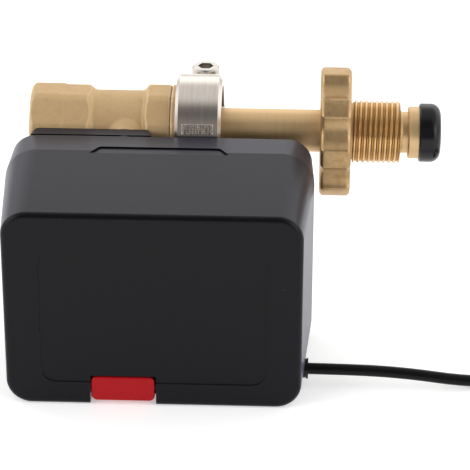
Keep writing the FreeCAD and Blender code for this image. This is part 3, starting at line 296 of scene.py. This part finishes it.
def from_axis(material):
    """Distance of a point from the valve's own axis, in metres."""
    tree = material.node_tree
    place = add(tree, "ShaderNodeTexCoord", {}).outputs["Object"]
    across = add(tree, "ShaderNodeVectorMath", {0: place, 1: (0.0, 1.0, 1.0)},
                 {"operation": "MULTIPLY"})
    length = add(tree, "ShaderNodeVectorMath", {0: across.outputs["Vector"]},
                 {"operation": "LENGTH"})
    return length.outputs["Value"]


brass_turned = finish("turned brass", "#cfaf82", "#e0c193", 0.6, (0.42, 0.52), METAL,
                      stretch=LATHE, relief_mm=0.008)
brass_thread = finish("cut brass thread", "#dcbd8c", "#eed0a0", 0.6, (0.28, 0.40), METAL,
                      stretch=LATHE)
# Painted shade: the thread's roots, nearer the axis, are painted darker than its crests.
overlay(brass_thread, from_axis(brass_thread), THREAD_TOP_MM * MM, THREAD_FLOOR_MM * MM,
        "#b38a56")
print("turned:", brass_turned.name, "and", brass_thread.name)

# %% [markdown]
# ## Plated steel and the metals inside
#
# The clamp is steel, ground round its outside and nickel plated, a warm pale grey. The
# grinding lines run round the band, so their mottle is squeezed along X as well. Screws
# are zinc plated, gears are hobbed, the ball is chromed, and the bush is sintered bronze
# with open pores.

# %% Steel, chrome and bronze
nickel = finish("ground nickel plate", "#c4bab0", "#e4dbd2", 0.30, (0.16, 0.28), METAL,
                stretch=(1.0, 0.02, 0.02), detail=2.0, relief_mm=0.012)
worn_nickel = finish("worn nickel plate", "#857d76", "#ece5de", 0.45, (0.25, 0.45), METAL,
                     detail=5.0)
zinc = finish("zinc-plated steel", "#b3aea7", "#cfcac3", 1.5, (0.22, 0.38), METAL)
gear_steel = finish("hobbed gear steel", "#8b8b8d", "#acacab", 0.5, (0.30, 0.45), METAL,
                    stretch=(1.0, 0.1, 1.0))
chrome = finish("polished chrome plate", "#d6d6d5", "#e6e6e6", 3.0, (0.05, 0.10), METAL)
bronze = finish("sintered bronze", "#85562a", "#b9803f", 0.4, (0.45, 0.60), METAL,
                relief_mm=0.03)
other_metals = (nickel, worn_nickel, zinc, gear_steel, chrome, bronze)
print("metals besides brass:", ", ".join(m.name for m in other_metals))

# %% [markdown]
# ## Rubber, cable jacket and the plastics inside
#
# The nose that seals in the cylinder's outlet is moulded nitrile rubber: deep grey and
# smooth, with a soft wide highlight. The cable's jacket is satin PVC. The seats in the
# valve are white PTFE, and the box holds a green circuit board with black component cases.

# %% Rubber, PVC and the plastics inside
nitrile = finish("nitrile rubber", "#0a0b0e", "#0f1014", 1.2, (0.20, 0.28),
                 {"Specular IOR Level": 0.28})
pvc = finish("PVC cable jacket", "#070708", "#0c0c0d", 2.0, (0.30, 0.40), LOW_GLOSS)
ptfe = finish("PTFE", "#e4e3de", "#f0efec", 2.0, (0.35, 0.45))
laminate = finish("solder-masked laminate", "#0c4a26", "#12602f", 1.5, (0.25, 0.35))
part_black = finish("black component case", "#1a1a1b", "#242426", 1.0, (0.40, 0.50))
soft_and_moulded = (nitrile, pvc, ptfe, laminate, part_black)
print("rubber and plastics:", ", ".join(m.name for m in soft_and_moulded))

# %% [markdown]
# ## Which finish goes where
#
# The frame gives each piece a slot, the kind of stuff that it is made of. One table from
# slot to finish keeps that choice in one place, where a finish is exchanged in one line.

# %% Table of finishes
FINISHES = {
    "housing_plastic": abs_black, "latch_plastic": abs_red, "forged_brass": brass_forged,
    "turned_brass": brass_turned, "plated_steel": nickel, "zinc_steel": zinc,
    "gear_steel": gear_steel, "ball_chrome": chrome, "seat_ptfe": ptfe, "bronze": bronze,
    "black_rubber": nitrile, "board_green": laminate, "part_black": part_black,
    "spring_steel": gear_steel,
}
print(len(FINISHES), "slots have a finish")

# %% [markdown]
# ## Dressing the frame's own pieces
#
# With the table, one loop dresses every piece of the frame. The plug shares its slot with
# the rubber nose but is moulded from the cable's PVC, so it is dressed by name.

# %% Dress the frame


def dress(obj, material):
    obj.data.materials.clear()
    obj.data.materials.append(material)


for subpart in frame["record"]["subparts"]:
    dress(frame["nodes"][subpart["node"]], FINISHES[subpart["material_slot"]])
dress(frame["nodes"]["dc_plug"], pvc)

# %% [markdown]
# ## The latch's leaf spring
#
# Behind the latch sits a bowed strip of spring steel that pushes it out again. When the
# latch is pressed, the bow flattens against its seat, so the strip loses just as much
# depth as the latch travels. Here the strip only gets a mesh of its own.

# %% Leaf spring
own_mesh(frame["nodes"]["latch_spring"])

# %% [markdown]
# ## Making a piece from a bmesh
#
# New pieces end here: the bmesh becomes a mesh with its place in its points, its object
# stays at the origin, it gets a finish, and it rides on the body that carries it. Edges
# that turn by more than the given angle stay sharp.

# %% From bmesh to piece
SOFT_EDGE = 35.0
THREAD_EDGE = 40.0
WELD = 0.002


def shade_smooth(obj, angle):
    for face in obj.data.polygons:
        face.use_smooth = True
    obj.data.set_sharp_from_angle(angle=math.radians(angle))


def new_piece(name, bm, material, body, smooth=SOFT_EDGE):
    bmesh.ops.recalc_face_normals(bm, faces=bm.faces)
    mesh = bpy.data.meshes.new(name)
    bm.to_mesh(mesh)
    bm.free()
    obj = bpy.data.objects.new(name, mesh)
    scene.collection.objects.link(obj)
    dress(obj, material)
    if smooth:
        shade_smooth(obj, smooth)
    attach(obj, body)
    print(name, len(mesh.polygons), "faces")
    return obj


def copied(node):
    """A bmesh of a frame piece with its loose triangles joined."""
    bm = bmesh.new()
    bm.from_mesh(frame["nodes"][node].data)
    bmesh.ops.remove_doubles(bm, verts=bm.verts, dist=WELD * MM)
    return bm


print("edges stay sharp from", SOFT_EDGE, "degrees, in a thread from", THREAD_EDGE)

# %% [markdown]
# ## Forged skins
#
# A forging has no sharp edge anywhere: metal flows round every corner of the die. The
# valve's octagon and the scalloped wheel are cut crisply in the frame, so a copy of each
# is rebuilt from small even cells and relaxed, which rounds all its edges alike, and the
# copy takes the piece's place. A bevel on each edge would do for the octagon, but not
# where it runs into the round waist and the stem boss.

# %% Valve body
FORGING_CELL = 0.42
RELAX_STEPS = 5
RELAX_SHARE = 0.5


def forged_copy(name, bm, material, replaced, body):
    skin = new_piece(name, bm, material, body, smooth=None)
    cells = skin.modifiers.new("cells", "REMESH")
    cells.mode = "VOXEL"
    cells.voxel_size = FORGING_CELL * MM
    cells.use_smooth_shade = True
    relax = skin.modifiers.new("relax", "SMOOTH")
    relax.factor = RELAX_SHARE
    relax.iterations = RELAX_STEPS
    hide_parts(replaced)
    return skin


forged_copy("valve_body_forging", copied("valve_body"), brass_forged, "valve_body", "base")

# %% [markdown]
# ## The end cap's rim
#
# Relaxing pulls a face back by most of a cell, and that would open the joint between body
# and end cap. The cap's front rim is moved forward by as much first, so the joint stays
# the fine line that two machined faces leave.

# %% End cap
CAP_RIM_X = 50.4
CAP_RIM_RADIUS = 12.6
CAP_RIM_FORWARD = 0.34

end_cap = copied("valve_end_cap")
for vert in end_cap.verts:
    if vert.co.x < CAP_RIM_X * MM and math.hypot(vert.co.y, vert.co.z) > CAP_RIM_RADIUS * MM:
        vert.co.x -= CAP_RIM_FORWARD * MM
forged_copy("end_cap_forging", end_cap, brass_forged, "valve_end_cap", "base")

# %% [markdown]
# ## The clamp's grip patch
#
# Low on the front of the band, a rolled patch keeps a finger or a tool from slipping. The
# frame has plain bars there. The real surface is a crowd of small uneven points whose
# plating is worn, and they catch light from all sides, so a patch of little pyramids of
# unequal height lies over the bars.

# %% Grip patch
GRIP_X0 = 53.9
GRIP_X1 = 64.8
GRIP_LOW = math.radians(18.2)
GRIP_HIGH = math.radians(28.8)
GRIP_BASE = 19.3
GRIP_VALLEY = 19.7
GRIP_POINT = 20.15
GRIP_WANDER = 0.25
GRIP_COLUMNS = 15
GRIP_ROWS = 5
GRIP_SEED = 11


def on_band(x, angle, radius):
    return mm(x, -radius * math.cos(angle), radius * math.sin(angle))


def grip_patch():
    bm = bmesh.new()
    bmesh.ops.create_grid(bm, x_segments=GRIP_COLUMNS, y_segments=GRIP_ROWS, size=0.5)
    poked = bmesh.ops.poke(bm, faces=bm.faces[:])
    points = set(poked["verts"])
    wander = random.Random(GRIP_SEED)
    for vert in bm.verts:
        x = GRIP_X0 + (vert.co.x + 0.5) * (GRIP_X1 - GRIP_X0)
        angle = GRIP_LOW + (vert.co.y + 0.5) * (GRIP_HIGH - GRIP_LOW)
        top = GRIP_POINT if vert in points else GRIP_VALLEY
        vert.co = on_band(x, angle, top - wander.uniform(0, GRIP_WANDER))
    rim = [e for e in bm.edges if e.is_boundary]
    skirt = bmesh.ops.extrude_edge_only(bm, edges=rim)
    for vert in (g for g in skirt["geom"] if isinstance(g, bmesh.types.BMVert)):
        vert.co *= Vector((1.0, GRIP_BASE / GRIP_VALLEY, GRIP_BASE / GRIP_VALLEY))
    bmesh.ops.holes_fill(bm, edges=[e for e in bm.edges if e.is_boundary], sides=0)
    return bm


new_piece("clamp_grip", grip_patch(), worn_nickel, "base", smooth=None)

# %% [markdown]
# ## The hand wheel
#
# The nut is one piece of brass: a forged wheel, then a spigot with the cylinder thread.
# The wheel is the frame's own, cut off where the spigot starts, and gets the same forged
# skin as the valve. A flat cap closes the cut, because only a closed shape can be rebuilt
# from cells.

# %% Hand wheel
WHEEL_FACE_X = 112.9
CUT_MARGIN = 0.02


def cut_across(bm, x, keep_low):
    """Cuts the mesh at x, keeps its low or its high side, and returns the cut's edges."""
    everything = bm.verts[:] + bm.edges[:] + bm.faces[:]
    cut = bmesh.ops.bisect_plane(bm, geom=everything, plane_co=mm(x, 0, 0),
                                 plane_no=(1, 0, 0), clear_outer=keep_low,
                                 clear_inner=not keep_low)
    return [e for e in cut["geom_cut"] if isinstance(e, bmesh.types.BMEdge)]


wheel = copied("pol_nut")
rim = cut_across(wheel, WHEEL_FACE_X + CUT_MARGIN, keep_low=True)
bmesh.ops.triangle_fill(wheel, edges=rim, use_beauty=True)
forged_copy("hand_wheel", wheel, brass_wheel, "pol_nut", "connector_nut")

# %% [markdown]
# ## A threaded wall
#
# A thread shows in outline, so it needs real ridges, and a bump map won't do. One zigzag
# profile is spun once round the axis while it advances by one pitch, which is exactly
# what a thread-cutting tool does. The end of each turn meets the start of the next, where
# their points are welded, and two cuts square off the ends.

# %% Threaded wall
THREAD_PITCH = 25.4 / 14
THREAD_FLAT = 0.36
SPIN_STEPS = 72
THREAD_WELD = 0.005


def zigzag(bm, start_x, end_x, root, crest, pitch, flat):
    """Profile points of a thread, from one pitch before start_x to one past end_x."""
    rise = (pitch - 2 * flat) / 2
    x = start_x - pitch
    corners = []
    while x < end_x + pitch:
        corners += [(x, root), (x + flat, root),
                    (x + flat + rise, crest), (x + 2 * flat + rise, crest)]
        x += pitch
    verts = [bm.verts.new(mm(px, 0, r)) for px, r in corners]
    return verts, [bm.edges.new(pair) for pair in zip(verts, verts[1:])]


def screw_surface(start_x, end_x, root, crest, pitch, flat, left_hand):
    """The open threaded wall between two cuts across the axis."""
    bm = bmesh.new()
    verts, edges = zigzag(bm, start_x, end_x, root, crest, pitch, flat)
    turn = -1 if left_hand else 1
    bmesh.ops.spin(bm, geom=verts + edges, cent=(0, 0, 0), axis=(1, 0, 0),
                   angle=turn * math.tau, dvec=mm(pitch / SPIN_STEPS, 0, 0),
                   steps=SPIN_STEPS, use_merge=False)
    bmesh.ops.remove_doubles(bm, verts=bm.verts, dist=THREAD_WELD * MM)
    cut_across(bm, start_x, keep_low=False)
    cut_across(bm, end_x, keep_low=True)
    return bm


print("14 turns to the inch: a pitch of", round(THREAD_PITCH, 3), "mm")

# %% [markdown]
# ## The nut's thread
#
# The thread that goes into the cylinder is a left-hand one of 14 turns to the inch, about
# 0.88 inch over its crests. A plain bore closes its wall to a tube, so the nut stays
# hollow round the outlet tube that it turns on.

# %% Nut thread
THREAD_START_X = 113.6
THREAD_END_X = 130.3
THREAD_CREST = 11.14
THREAD_DEPTH = 0.75
NUT_BORE = 7.61
END_REACH = 0.01


def close_tube(bm, start_x, end_x, other_radius):
    """Joins both open ends of a threaded surface to a plain wall at other_radius."""
    for x in (start_x, end_x):
        near = [e for e in bm.edges if e.is_boundary
                and all(abs(v.co.x - x * MM) < END_REACH * MM for v in e.verts)]
        loop = bmesh.ops.extrude_edge_only(bm, edges=near)
        for vert in [g for g in loop["geom"] if isinstance(g, bmesh.types.BMVert)]:
            radial = Vector((0, vert.co.y, vert.co.z)).normalized() * other_radius * MM
            vert.co = Vector((vert.co.x, radial.y, radial.z))
    open_edges = [e for e in bm.edges if e.is_boundary]
    bmesh.ops.bridge_loops(bm, edges=open_edges)


thread = screw_surface(THREAD_START_X, THREAD_END_X, THREAD_CREST - THREAD_DEPTH, THREAD_CREST,
                       THREAD_PITCH, THREAD_FLAT, left_hand=True)
close_tube(thread, THREAD_START_X, THREAD_END_X, NUT_BORE)
new_piece("nut_thread", thread, brass_thread, "connector_nut",
          smooth=THREAD_EDGE)

# %% [markdown]
# ## The thread's neck
#
# Between the wheel and the first full turn the lathe leaves a short plain neck, a little
# under the thread's root. Both of its ends are buried in their neighbours.

# %% Neck
NECK_RADIUS = 10.0
NECK_IN_WHEEL = 0.5
NECK_IN_THREAD = 0.2
NECK_START_X = WHEEL_FACE_X - NECK_IN_WHEEL
NECK_END_X = THREAD_START_X + NECK_IN_THREAD


def turned(profile, steps=SPIN_STEPS):
    """Solid of revolution about X from a closed list of (x, radius) corners in millimetres."""
    bm = bmesh.new()
    verts = [bm.verts.new(mm(x, 0, r)) for x, r in profile]
    edges = [bm.edges.new(pair) for pair in zip(verts, verts[1:] + verts[:1])]
    bmesh.ops.spin(bm, geom=verts + edges, cent=(0, 0, 0), axis=(1, 0, 0), angle=math.tau,
                   steps=steps, use_merge=True)
    return bm


neck = turned([(NECK_START_X, NUT_BORE), (NECK_START_X, NECK_RADIUS),
               (NECK_END_X, NECK_RADIUS), (NECK_END_X, NUT_BORE)])
new_piece("nut_neck", neck, brass_turned, "connector_nut")

# %% [markdown]
# ## The inlet's thread
#
# Looking into the inlet, a right-hand pipe thread of 14 turns to the inch runs round the
# bore. Its ridges are the same zigzag, turned inwards, and its outer wall is buried in
# the forging.

# %% Inlet thread
PORT_RADIUS = 9.3
PORT_RIDGE = 0.5
PORT_SUNK = 0.1
PORT_WALL = 0.6
PORT_START_X = 1.2
PORT_END_X = 13.5

port = screw_surface(PORT_START_X, PORT_END_X, PORT_RADIUS - PORT_RIDGE,
                     PORT_RADIUS + PORT_SUNK, THREAD_PITCH, THREAD_FLAT, left_hand=False)
close_tube(port, PORT_START_X, PORT_END_X, PORT_RADIUS + PORT_WALL)
new_piece("inlet_thread", port, brass_turned, "base", smooth=THREAD_EDGE)

# %% [markdown]
# ## The supply cable
#
# A thin two-core cable leaves the box low on its right side, sinks to the surface and
# runs out of view. Beyond that it meets the coil, and its free end carries the plug. Its
# free stretches follow a few given points.

# %% Free stretches of the cable
CABLE_DIAMETER = 4.0
FLOOR_Z = -68.7
cable_points = [
    (88.6, -59.5, -62.9),
    (105.6, -59.5, -62.9),
    (130.6, -59.9, -63.3),
    (156.6, -60.8, -66.4),
    (181.6, -57.2, -66.7),
    (204.6, -45.2, -66.7),
    (220.6, -26.7, -66.7),
]
tail_points = [(222.1, 20.3, -63.7), (214.1, 34.8, -63.7)]
print(len(cable_points), "points from the box to the coil,", len(tail_points), "to the plug")

# %% [markdown]
# ## The coil
#
# Most of the cable is wound into a flat coil of two layers, as it comes in the carton.
# Each turn is a circle apart from a short stretch where the cable steps to the next
# column, or climbs to the upper layer, so a loop can work out all its points.

# %% Coil
COIL_PITCH = 4.1
COIL_COLUMNS = 4
COIL_MEAN = 24.0
COIL_OUTER = COIL_MEAN + (COIL_COLUMNS - 1) / 2 * COIL_PITCH
COIL_TURNS = 7.16
STEP_IN = (0.8, 1.0)
STEP_OUT = (0.35, 0.55)
CLIMB = (-0.45, -0.2)
POINTS_A_TURN = 18


def eased(value, start, end):
    """0 before start, 1 after end, and a smooth step between."""
    t = min(1.0, max(0.0, (value - start) / (end - start)))
    return t * t * (3 - 2 * t)


def coil_place(turn):
    """Radius and height after some turns: inwards on the lower layer, then outwards."""
    lower = range(COIL_COLUMNS - 1)
    upper = range(COIL_COLUMNS, 2 * COIL_COLUMNS - 1)
    inward = sum(eased(turn, k + STEP_IN[0], k + STEP_IN[1]) for k in lower)
    outward = sum(eased(turn, k + STEP_OUT[0], k + STEP_OUT[1]) for k in upper)
    rise = eased(turn, COIL_COLUMNS + CLIMB[0], COIL_COLUMNS + CLIMB[1])
    radius = COIL_OUTER - COIL_PITCH * (inward - outward)
    return radius, FLOOR_Z + CABLE_DIAMETER / 2 + COIL_PITCH * rise


last = Vector(cable_points[-1])
heading = last - Vector(cable_points[-2])
bearing = math.atan2(heading.y, heading.x)
coil_centre = last + Vector((-math.sin(bearing), math.cos(bearing), 0)) * COIL_OUTER
coil_start = bearing - math.pi / 2
coil_points = []
for step in range(1, int(COIL_TURNS * POINTS_A_TURN) + 1):
    turn = step / POINTS_A_TURN
    radius, height = coil_place(turn)
    angle = coil_start + turn * math.tau
    coil_points.append((coil_centre.x + radius * math.cos(angle),
                        coil_centre.y + radius * math.sin(angle), height))
print(len(coil_points), "points in", COIL_TURNS, "turns of the coil")

# %% [markdown]
# ## One spline for the whole cable
#
# A NURBS spline passes near its points and never kinks, as a cable does that is held by
# its own stiffness. One spline follows the whole way from the box to the plug, so no
# joint shows anywhere.

# %% Cable
curve = bpy.data.curves.new("power_cord", "CURVE")
curve.dimensions = "3D"
curve.bevel_depth = CABLE_DIAMETER / 2 * MM
curve.bevel_resolution = 4
curve.resolution_u = 6
curve.use_fill_caps = True
spline = curve.splines.new("NURBS")
route = cable_points + coil_points + tail_points
spline.points.add(len(route) - 1)
for point, place in zip(spline.points, route):
    point.co = (*mm(*place), 1.0)
spline.order_u = 3
spline.use_endpoint_u = True
power_cord = bpy.data.objects.new("power_cord", curve)
scene.collection.objects.link(power_cord)
power_cord.data.materials.append(pvc)
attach(power_cord, "base")
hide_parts("power_cable", "cable_coil")
print("cable length", round(spline.calc_length() / MM), "mm in", len(route), "points")

# %% [markdown]
# ## The tie round the coil
#
# A wound cable keeps its shape because something ties it: a flat rubber band goes once
# round the bundle. It starts as a rectangle close round the strands that it holds, is
# extruded to the band's width, rounded at its corners and given the rubber's thickness.

# %% Tie
TIE_THICK = 0.5
TIE_WIDE = 5.0
TIE_LIFT = 0.05
TIE_CORNER = 1.6
TIE_CORNER_STEPS = 4
TIE_ANGLE = math.radians(200.0)


def coil_tie():
    inner_edge = COIL_OUTER - COIL_PITCH * (COIL_COLUMNS - 1) - CABLE_DIAMETER / 2
    outer_edge = COIL_OUTER + CABLE_DIAMETER / 2
    low = FLOOR_Z + TIE_LIFT
    high = FLOOR_Z + CABLE_DIAMETER + COIL_PITCH
    bm = bmesh.new()
    corners = [(inner_edge, low), (outer_edge, low), (outer_edge, high), (inner_edge, high)]
    verts = [bm.verts.new(mm(r, -TIE_WIDE / 2, z)) for r, z in corners]
    edges = [bm.edges.new(pair) for pair in zip(verts, verts[1:] + verts[:1])]
    out = bmesh.ops.extrude_edge_only(bm, edges=edges)
    moved = [g for g in out["geom"] if isinstance(g, bmesh.types.BMVert)]
    bmesh.ops.translate(bm, verts=moved, vec=mm(0, TIE_WIDE, 0))
    across = [e for e in bm.edges
              if abs((e.verts[0].co - e.verts[1].co).y) > TIE_WIDE / 2 * MM]
    bmesh.ops.bevel(bm, geom=across, offset=TIE_CORNER * MM, segments=TIE_CORNER_STEPS,
                    profile=0.5, affect="EDGES", material=-1)
    bmesh.ops.recalc_face_normals(bm, faces=bm.faces)
    bmesh.ops.solidify(bm, geom=bm.faces[:], thickness=TIE_THICK * MM)
    bmesh.ops.rotate(bm, cent=(0, 0, 0), matrix=Matrix.Rotation(TIE_ANGLE, 3, "Z"),
                     verts=bm.verts)
    bmesh.ops.translate(bm, verts=bm.verts, vec=mm(coil_centre.x, coil_centre.y, 0))
    return new_piece("coil_tie", bm, nitrile, "base")


tie = coil_tie()

# %% [markdown]
# ## The plug's ribs
#
# The grip of such a plug has a row of thin rings, so that fingers can pull it. Each is a
# ring of its own, turned round the plug's axis and set into the grip. They end a hair
# below its surface, so the grip still looks smooth: only a RIB_OUTER above PLUG_RADIUS
# would let them stand out.

# %% Plug ribs
PLUG_RADIUS = 5.0
RIB_COUNT = 6
RIB_FIRST = 12.0
RIB_PITCH = 1.8
RIB_HALF_WIDTH = 0.35
RIB_OUTER = PLUG_RADIUS - 0.02
RIB_INNER = PLUG_RADIUS - 0.4
RIB_STEPS = 32


def plug_ribs():
    end = Vector(tail_points[-1])
    direction = (end - Vector(tail_points[-2])).normalized()
    bm = bmesh.new()
    turn = Matrix.Rotation(math.atan2(direction.y, direction.x), 4, "Z")
    for k in range(RIB_COUNT):
        along = RIB_FIRST + RIB_PITCH * k
        start, stop = along - RIB_HALF_WIDTH, along + RIB_HALF_WIDTH
        ring = turned([(start, RIB_INNER), (start, RIB_OUTER), (stop, RIB_OUTER),
                       (stop, RIB_INNER)], steps=RIB_STEPS)
        mesh = bpy.data.meshes.new("rib")
        ring.to_mesh(mesh)
        ring.free()
        bm.from_mesh(mesh)
        bpy.data.meshes.remove(mesh)
    bmesh.ops.transform(bm, matrix=Matrix.Translation(mm(*end)) @ turn, verts=bm.verts)
    return new_piece("plug_ribs", bm, pvc, "base")


ribs = plug_ribs()

# %% [markdown]
# ## The cord as a whole
#
# On the real object the cable is flexible, and its plug, the tie and the collar at the
# box belong to it. One line prints the names of these pieces.

# %% Cord
print("cord:", power_cord.name, "with its plug,", ribs.name + ",", tie.name, "and the collar")

# %% [markdown]
# ## The floor
#
# The photograph is a studio shot on a white table that is lit from below as well, so
# shadows are weak. The paper glows a little of its own: it stays white away from the
# object and keeps a faint shadow under it.

# %% Floor
FLOOR_SIZE = 6.0
FLOOR_X = 70.0
FLOOR_GLOW = 0.40


def stage_floor():
    bm = bmesh.new()
    bmesh.ops.create_grid(bm, x_segments=1, y_segments=1, size=FLOOR_SIZE / 2)
    bmesh.ops.translate(bm, verts=bm.verts, vec=mm(FLOOR_X, 0, FLOOR_Z))
    mesh = bpy.data.meshes.new("floor")
    bm.to_mesh(mesh)
    bm.free()
    floor = bpy.data.objects.new("floor", mesh)
    scene.collection.objects.link(floor)
    paper = finish("white table", "#f2f2f2", "#f5f5f5", 40.0, (0.88, 0.92),
                   {"Specular IOR Level": 0.1})
    shader = next(n for n in paper.node_tree.nodes if n.type == "BSDF_PRINCIPLED")
    shader.inputs["Emission Color"].default_value = hex_colour("#ffffff")
    shader.inputs["Emission Strength"].default_value = FLOOR_GLOW
    dress(floor, paper)
    floor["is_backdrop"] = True


stage_floor()
print("floor", FLOOR_SIZE, "m wide, at z", FLOOR_Z, "mm")

# %% [markdown]
# ## Two soft lamps
#
# The light comes mostly from above and behind. Two soft lamps at the front corners reach
# the faces that look forward. They stand a metre away, so their places are in metres.

# %% Lamps
LAMP_WIDTH = 0.6
LAMP_HEIGHT = 0.9
LAMP_POWER = 3.4
LAMP_AIM = Vector((0.07, 0, 0))


def soft_lamp(name, place):
    lamp = bpy.data.lights.new(name, "AREA")
    lamp.shape = "RECTANGLE"
    lamp.size = LAMP_WIDTH
    lamp.size_y = LAMP_HEIGHT
    lamp.energy = LAMP_POWER
    obj = bpy.data.objects.new(name, lamp)
    obj.location = place
    obj.rotation_mode = "QUATERNION"
    obj.rotation_quaternion = (LAMP_AIM - Vector(place)).to_track_quat("-Z", "Y")
    scene.collection.objects.link(obj)


soft_lamp("left corner", (-1.05, -0.8, 0.45))
soft_lamp("right corner", (1.2, -0.8, 0.45))
print("lamps of", LAMP_POWER, "W, both aimed at the valve's middle")

# %% [markdown]
# ## The light tent
#
# The clamp and the tube are light on top and turn dark over their front, as if a dark
# room stood in front of them. The tent's sides stay bright, which gives the clamp's bevels
# and the box's side wall their light edges. So the surroundings are one shade: it depends
# on how far to the front and how little to the side a direction points.
#
# A bright panel runs round the tent as high as the camera. In front it stays dark like
# the rest, and at the back its mirror image makes the black top face grey.

# %% Tent
ROOM_DARK = 0.13
ROOM_LIGHT = 0.86
DARK_FROM = -0.36
LIGHT_FROM = 0.08
SIDE_SHARE = 0.9
PANEL_LIGHT = 2.0
PANEL_HEIGHT = 0.45
PANEL_FULL = 0.12
PANEL_END = 0.35

world = bpy.data.worlds.new("studio")
scene.world = world
world.use_nodes = True
room = world.node_tree
room.nodes.clear()

direction = add(room, "ShaderNodeTexCoord", {}).outputs["Generated"]
parts = add(room, "ShaderNodeSeparateXYZ", {"Vector": direction}).outputs
sideways = add(room, "ShaderNodeMath", {0: parts["X"]}, {"operation": "ABSOLUTE"})
depth = add(room, "ShaderNodeMath",
            {0: sideways.outputs["Value"], 1: SIDE_SHARE, 2: parts["Y"]},
            {"operation": "MULTIPLY_ADD"})
shade = add(room, "ShaderNodeMapRange",
            {"Value": depth.outputs["Value"], "From Min": DARK_FROM, "From Max": LIGHT_FROM,
             "To Min": ROOM_DARK, "To Max": ROOM_LIGHT}, {"interpolation_type": "SMOOTHSTEP"})
above = add(room, "ShaderNodeMath", {0: parts["Z"], 1: PANEL_HEIGHT},
            {"operation": "SUBTRACT"})
off_panel = add(room, "ShaderNodeMath", {0: above.outputs["Value"]},
                {"operation": "ABSOLUTE"})
panel = add(room, "ShaderNodeMapRange",
            {"Value": off_panel.outputs["Value"], "From Min": PANEL_FULL,
             "From Max": PANEL_END, "To Min": PANEL_LIGHT, "To Max": 1.0},
            {"interpolation_type": "SMOOTHSTEP"})
strength = add(room, "ShaderNodeMath",
               {0: shade.outputs["Result"], 1: panel.outputs["Result"]},
               {"operation": "MULTIPLY"})
air = add(room, "ShaderNodeBackground",
          {"Color": hex_colour("#ffffff"), "Strength": strength.outputs["Value"]})
add(room, "ShaderNodeOutputWorld", {"Surface": air.outputs["Background"]})

scene.view_settings.view_transform = "Standard"
print("tent:", ROOM_DARK, "in front,", ROOM_LIGHT, "behind, panel", PANEL_LIGHT, "times that")

# %% [markdown]
# ## Sizes, and the end
#
# The frame's box and the dressed model's box are both printed.

# %% Sizes, and the end
visual_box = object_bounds()
for name, box in (("cad", cad_box), ("visual", visual_box)):
    print(name, [[round(c / MM, 2) for c in v] for v in box])
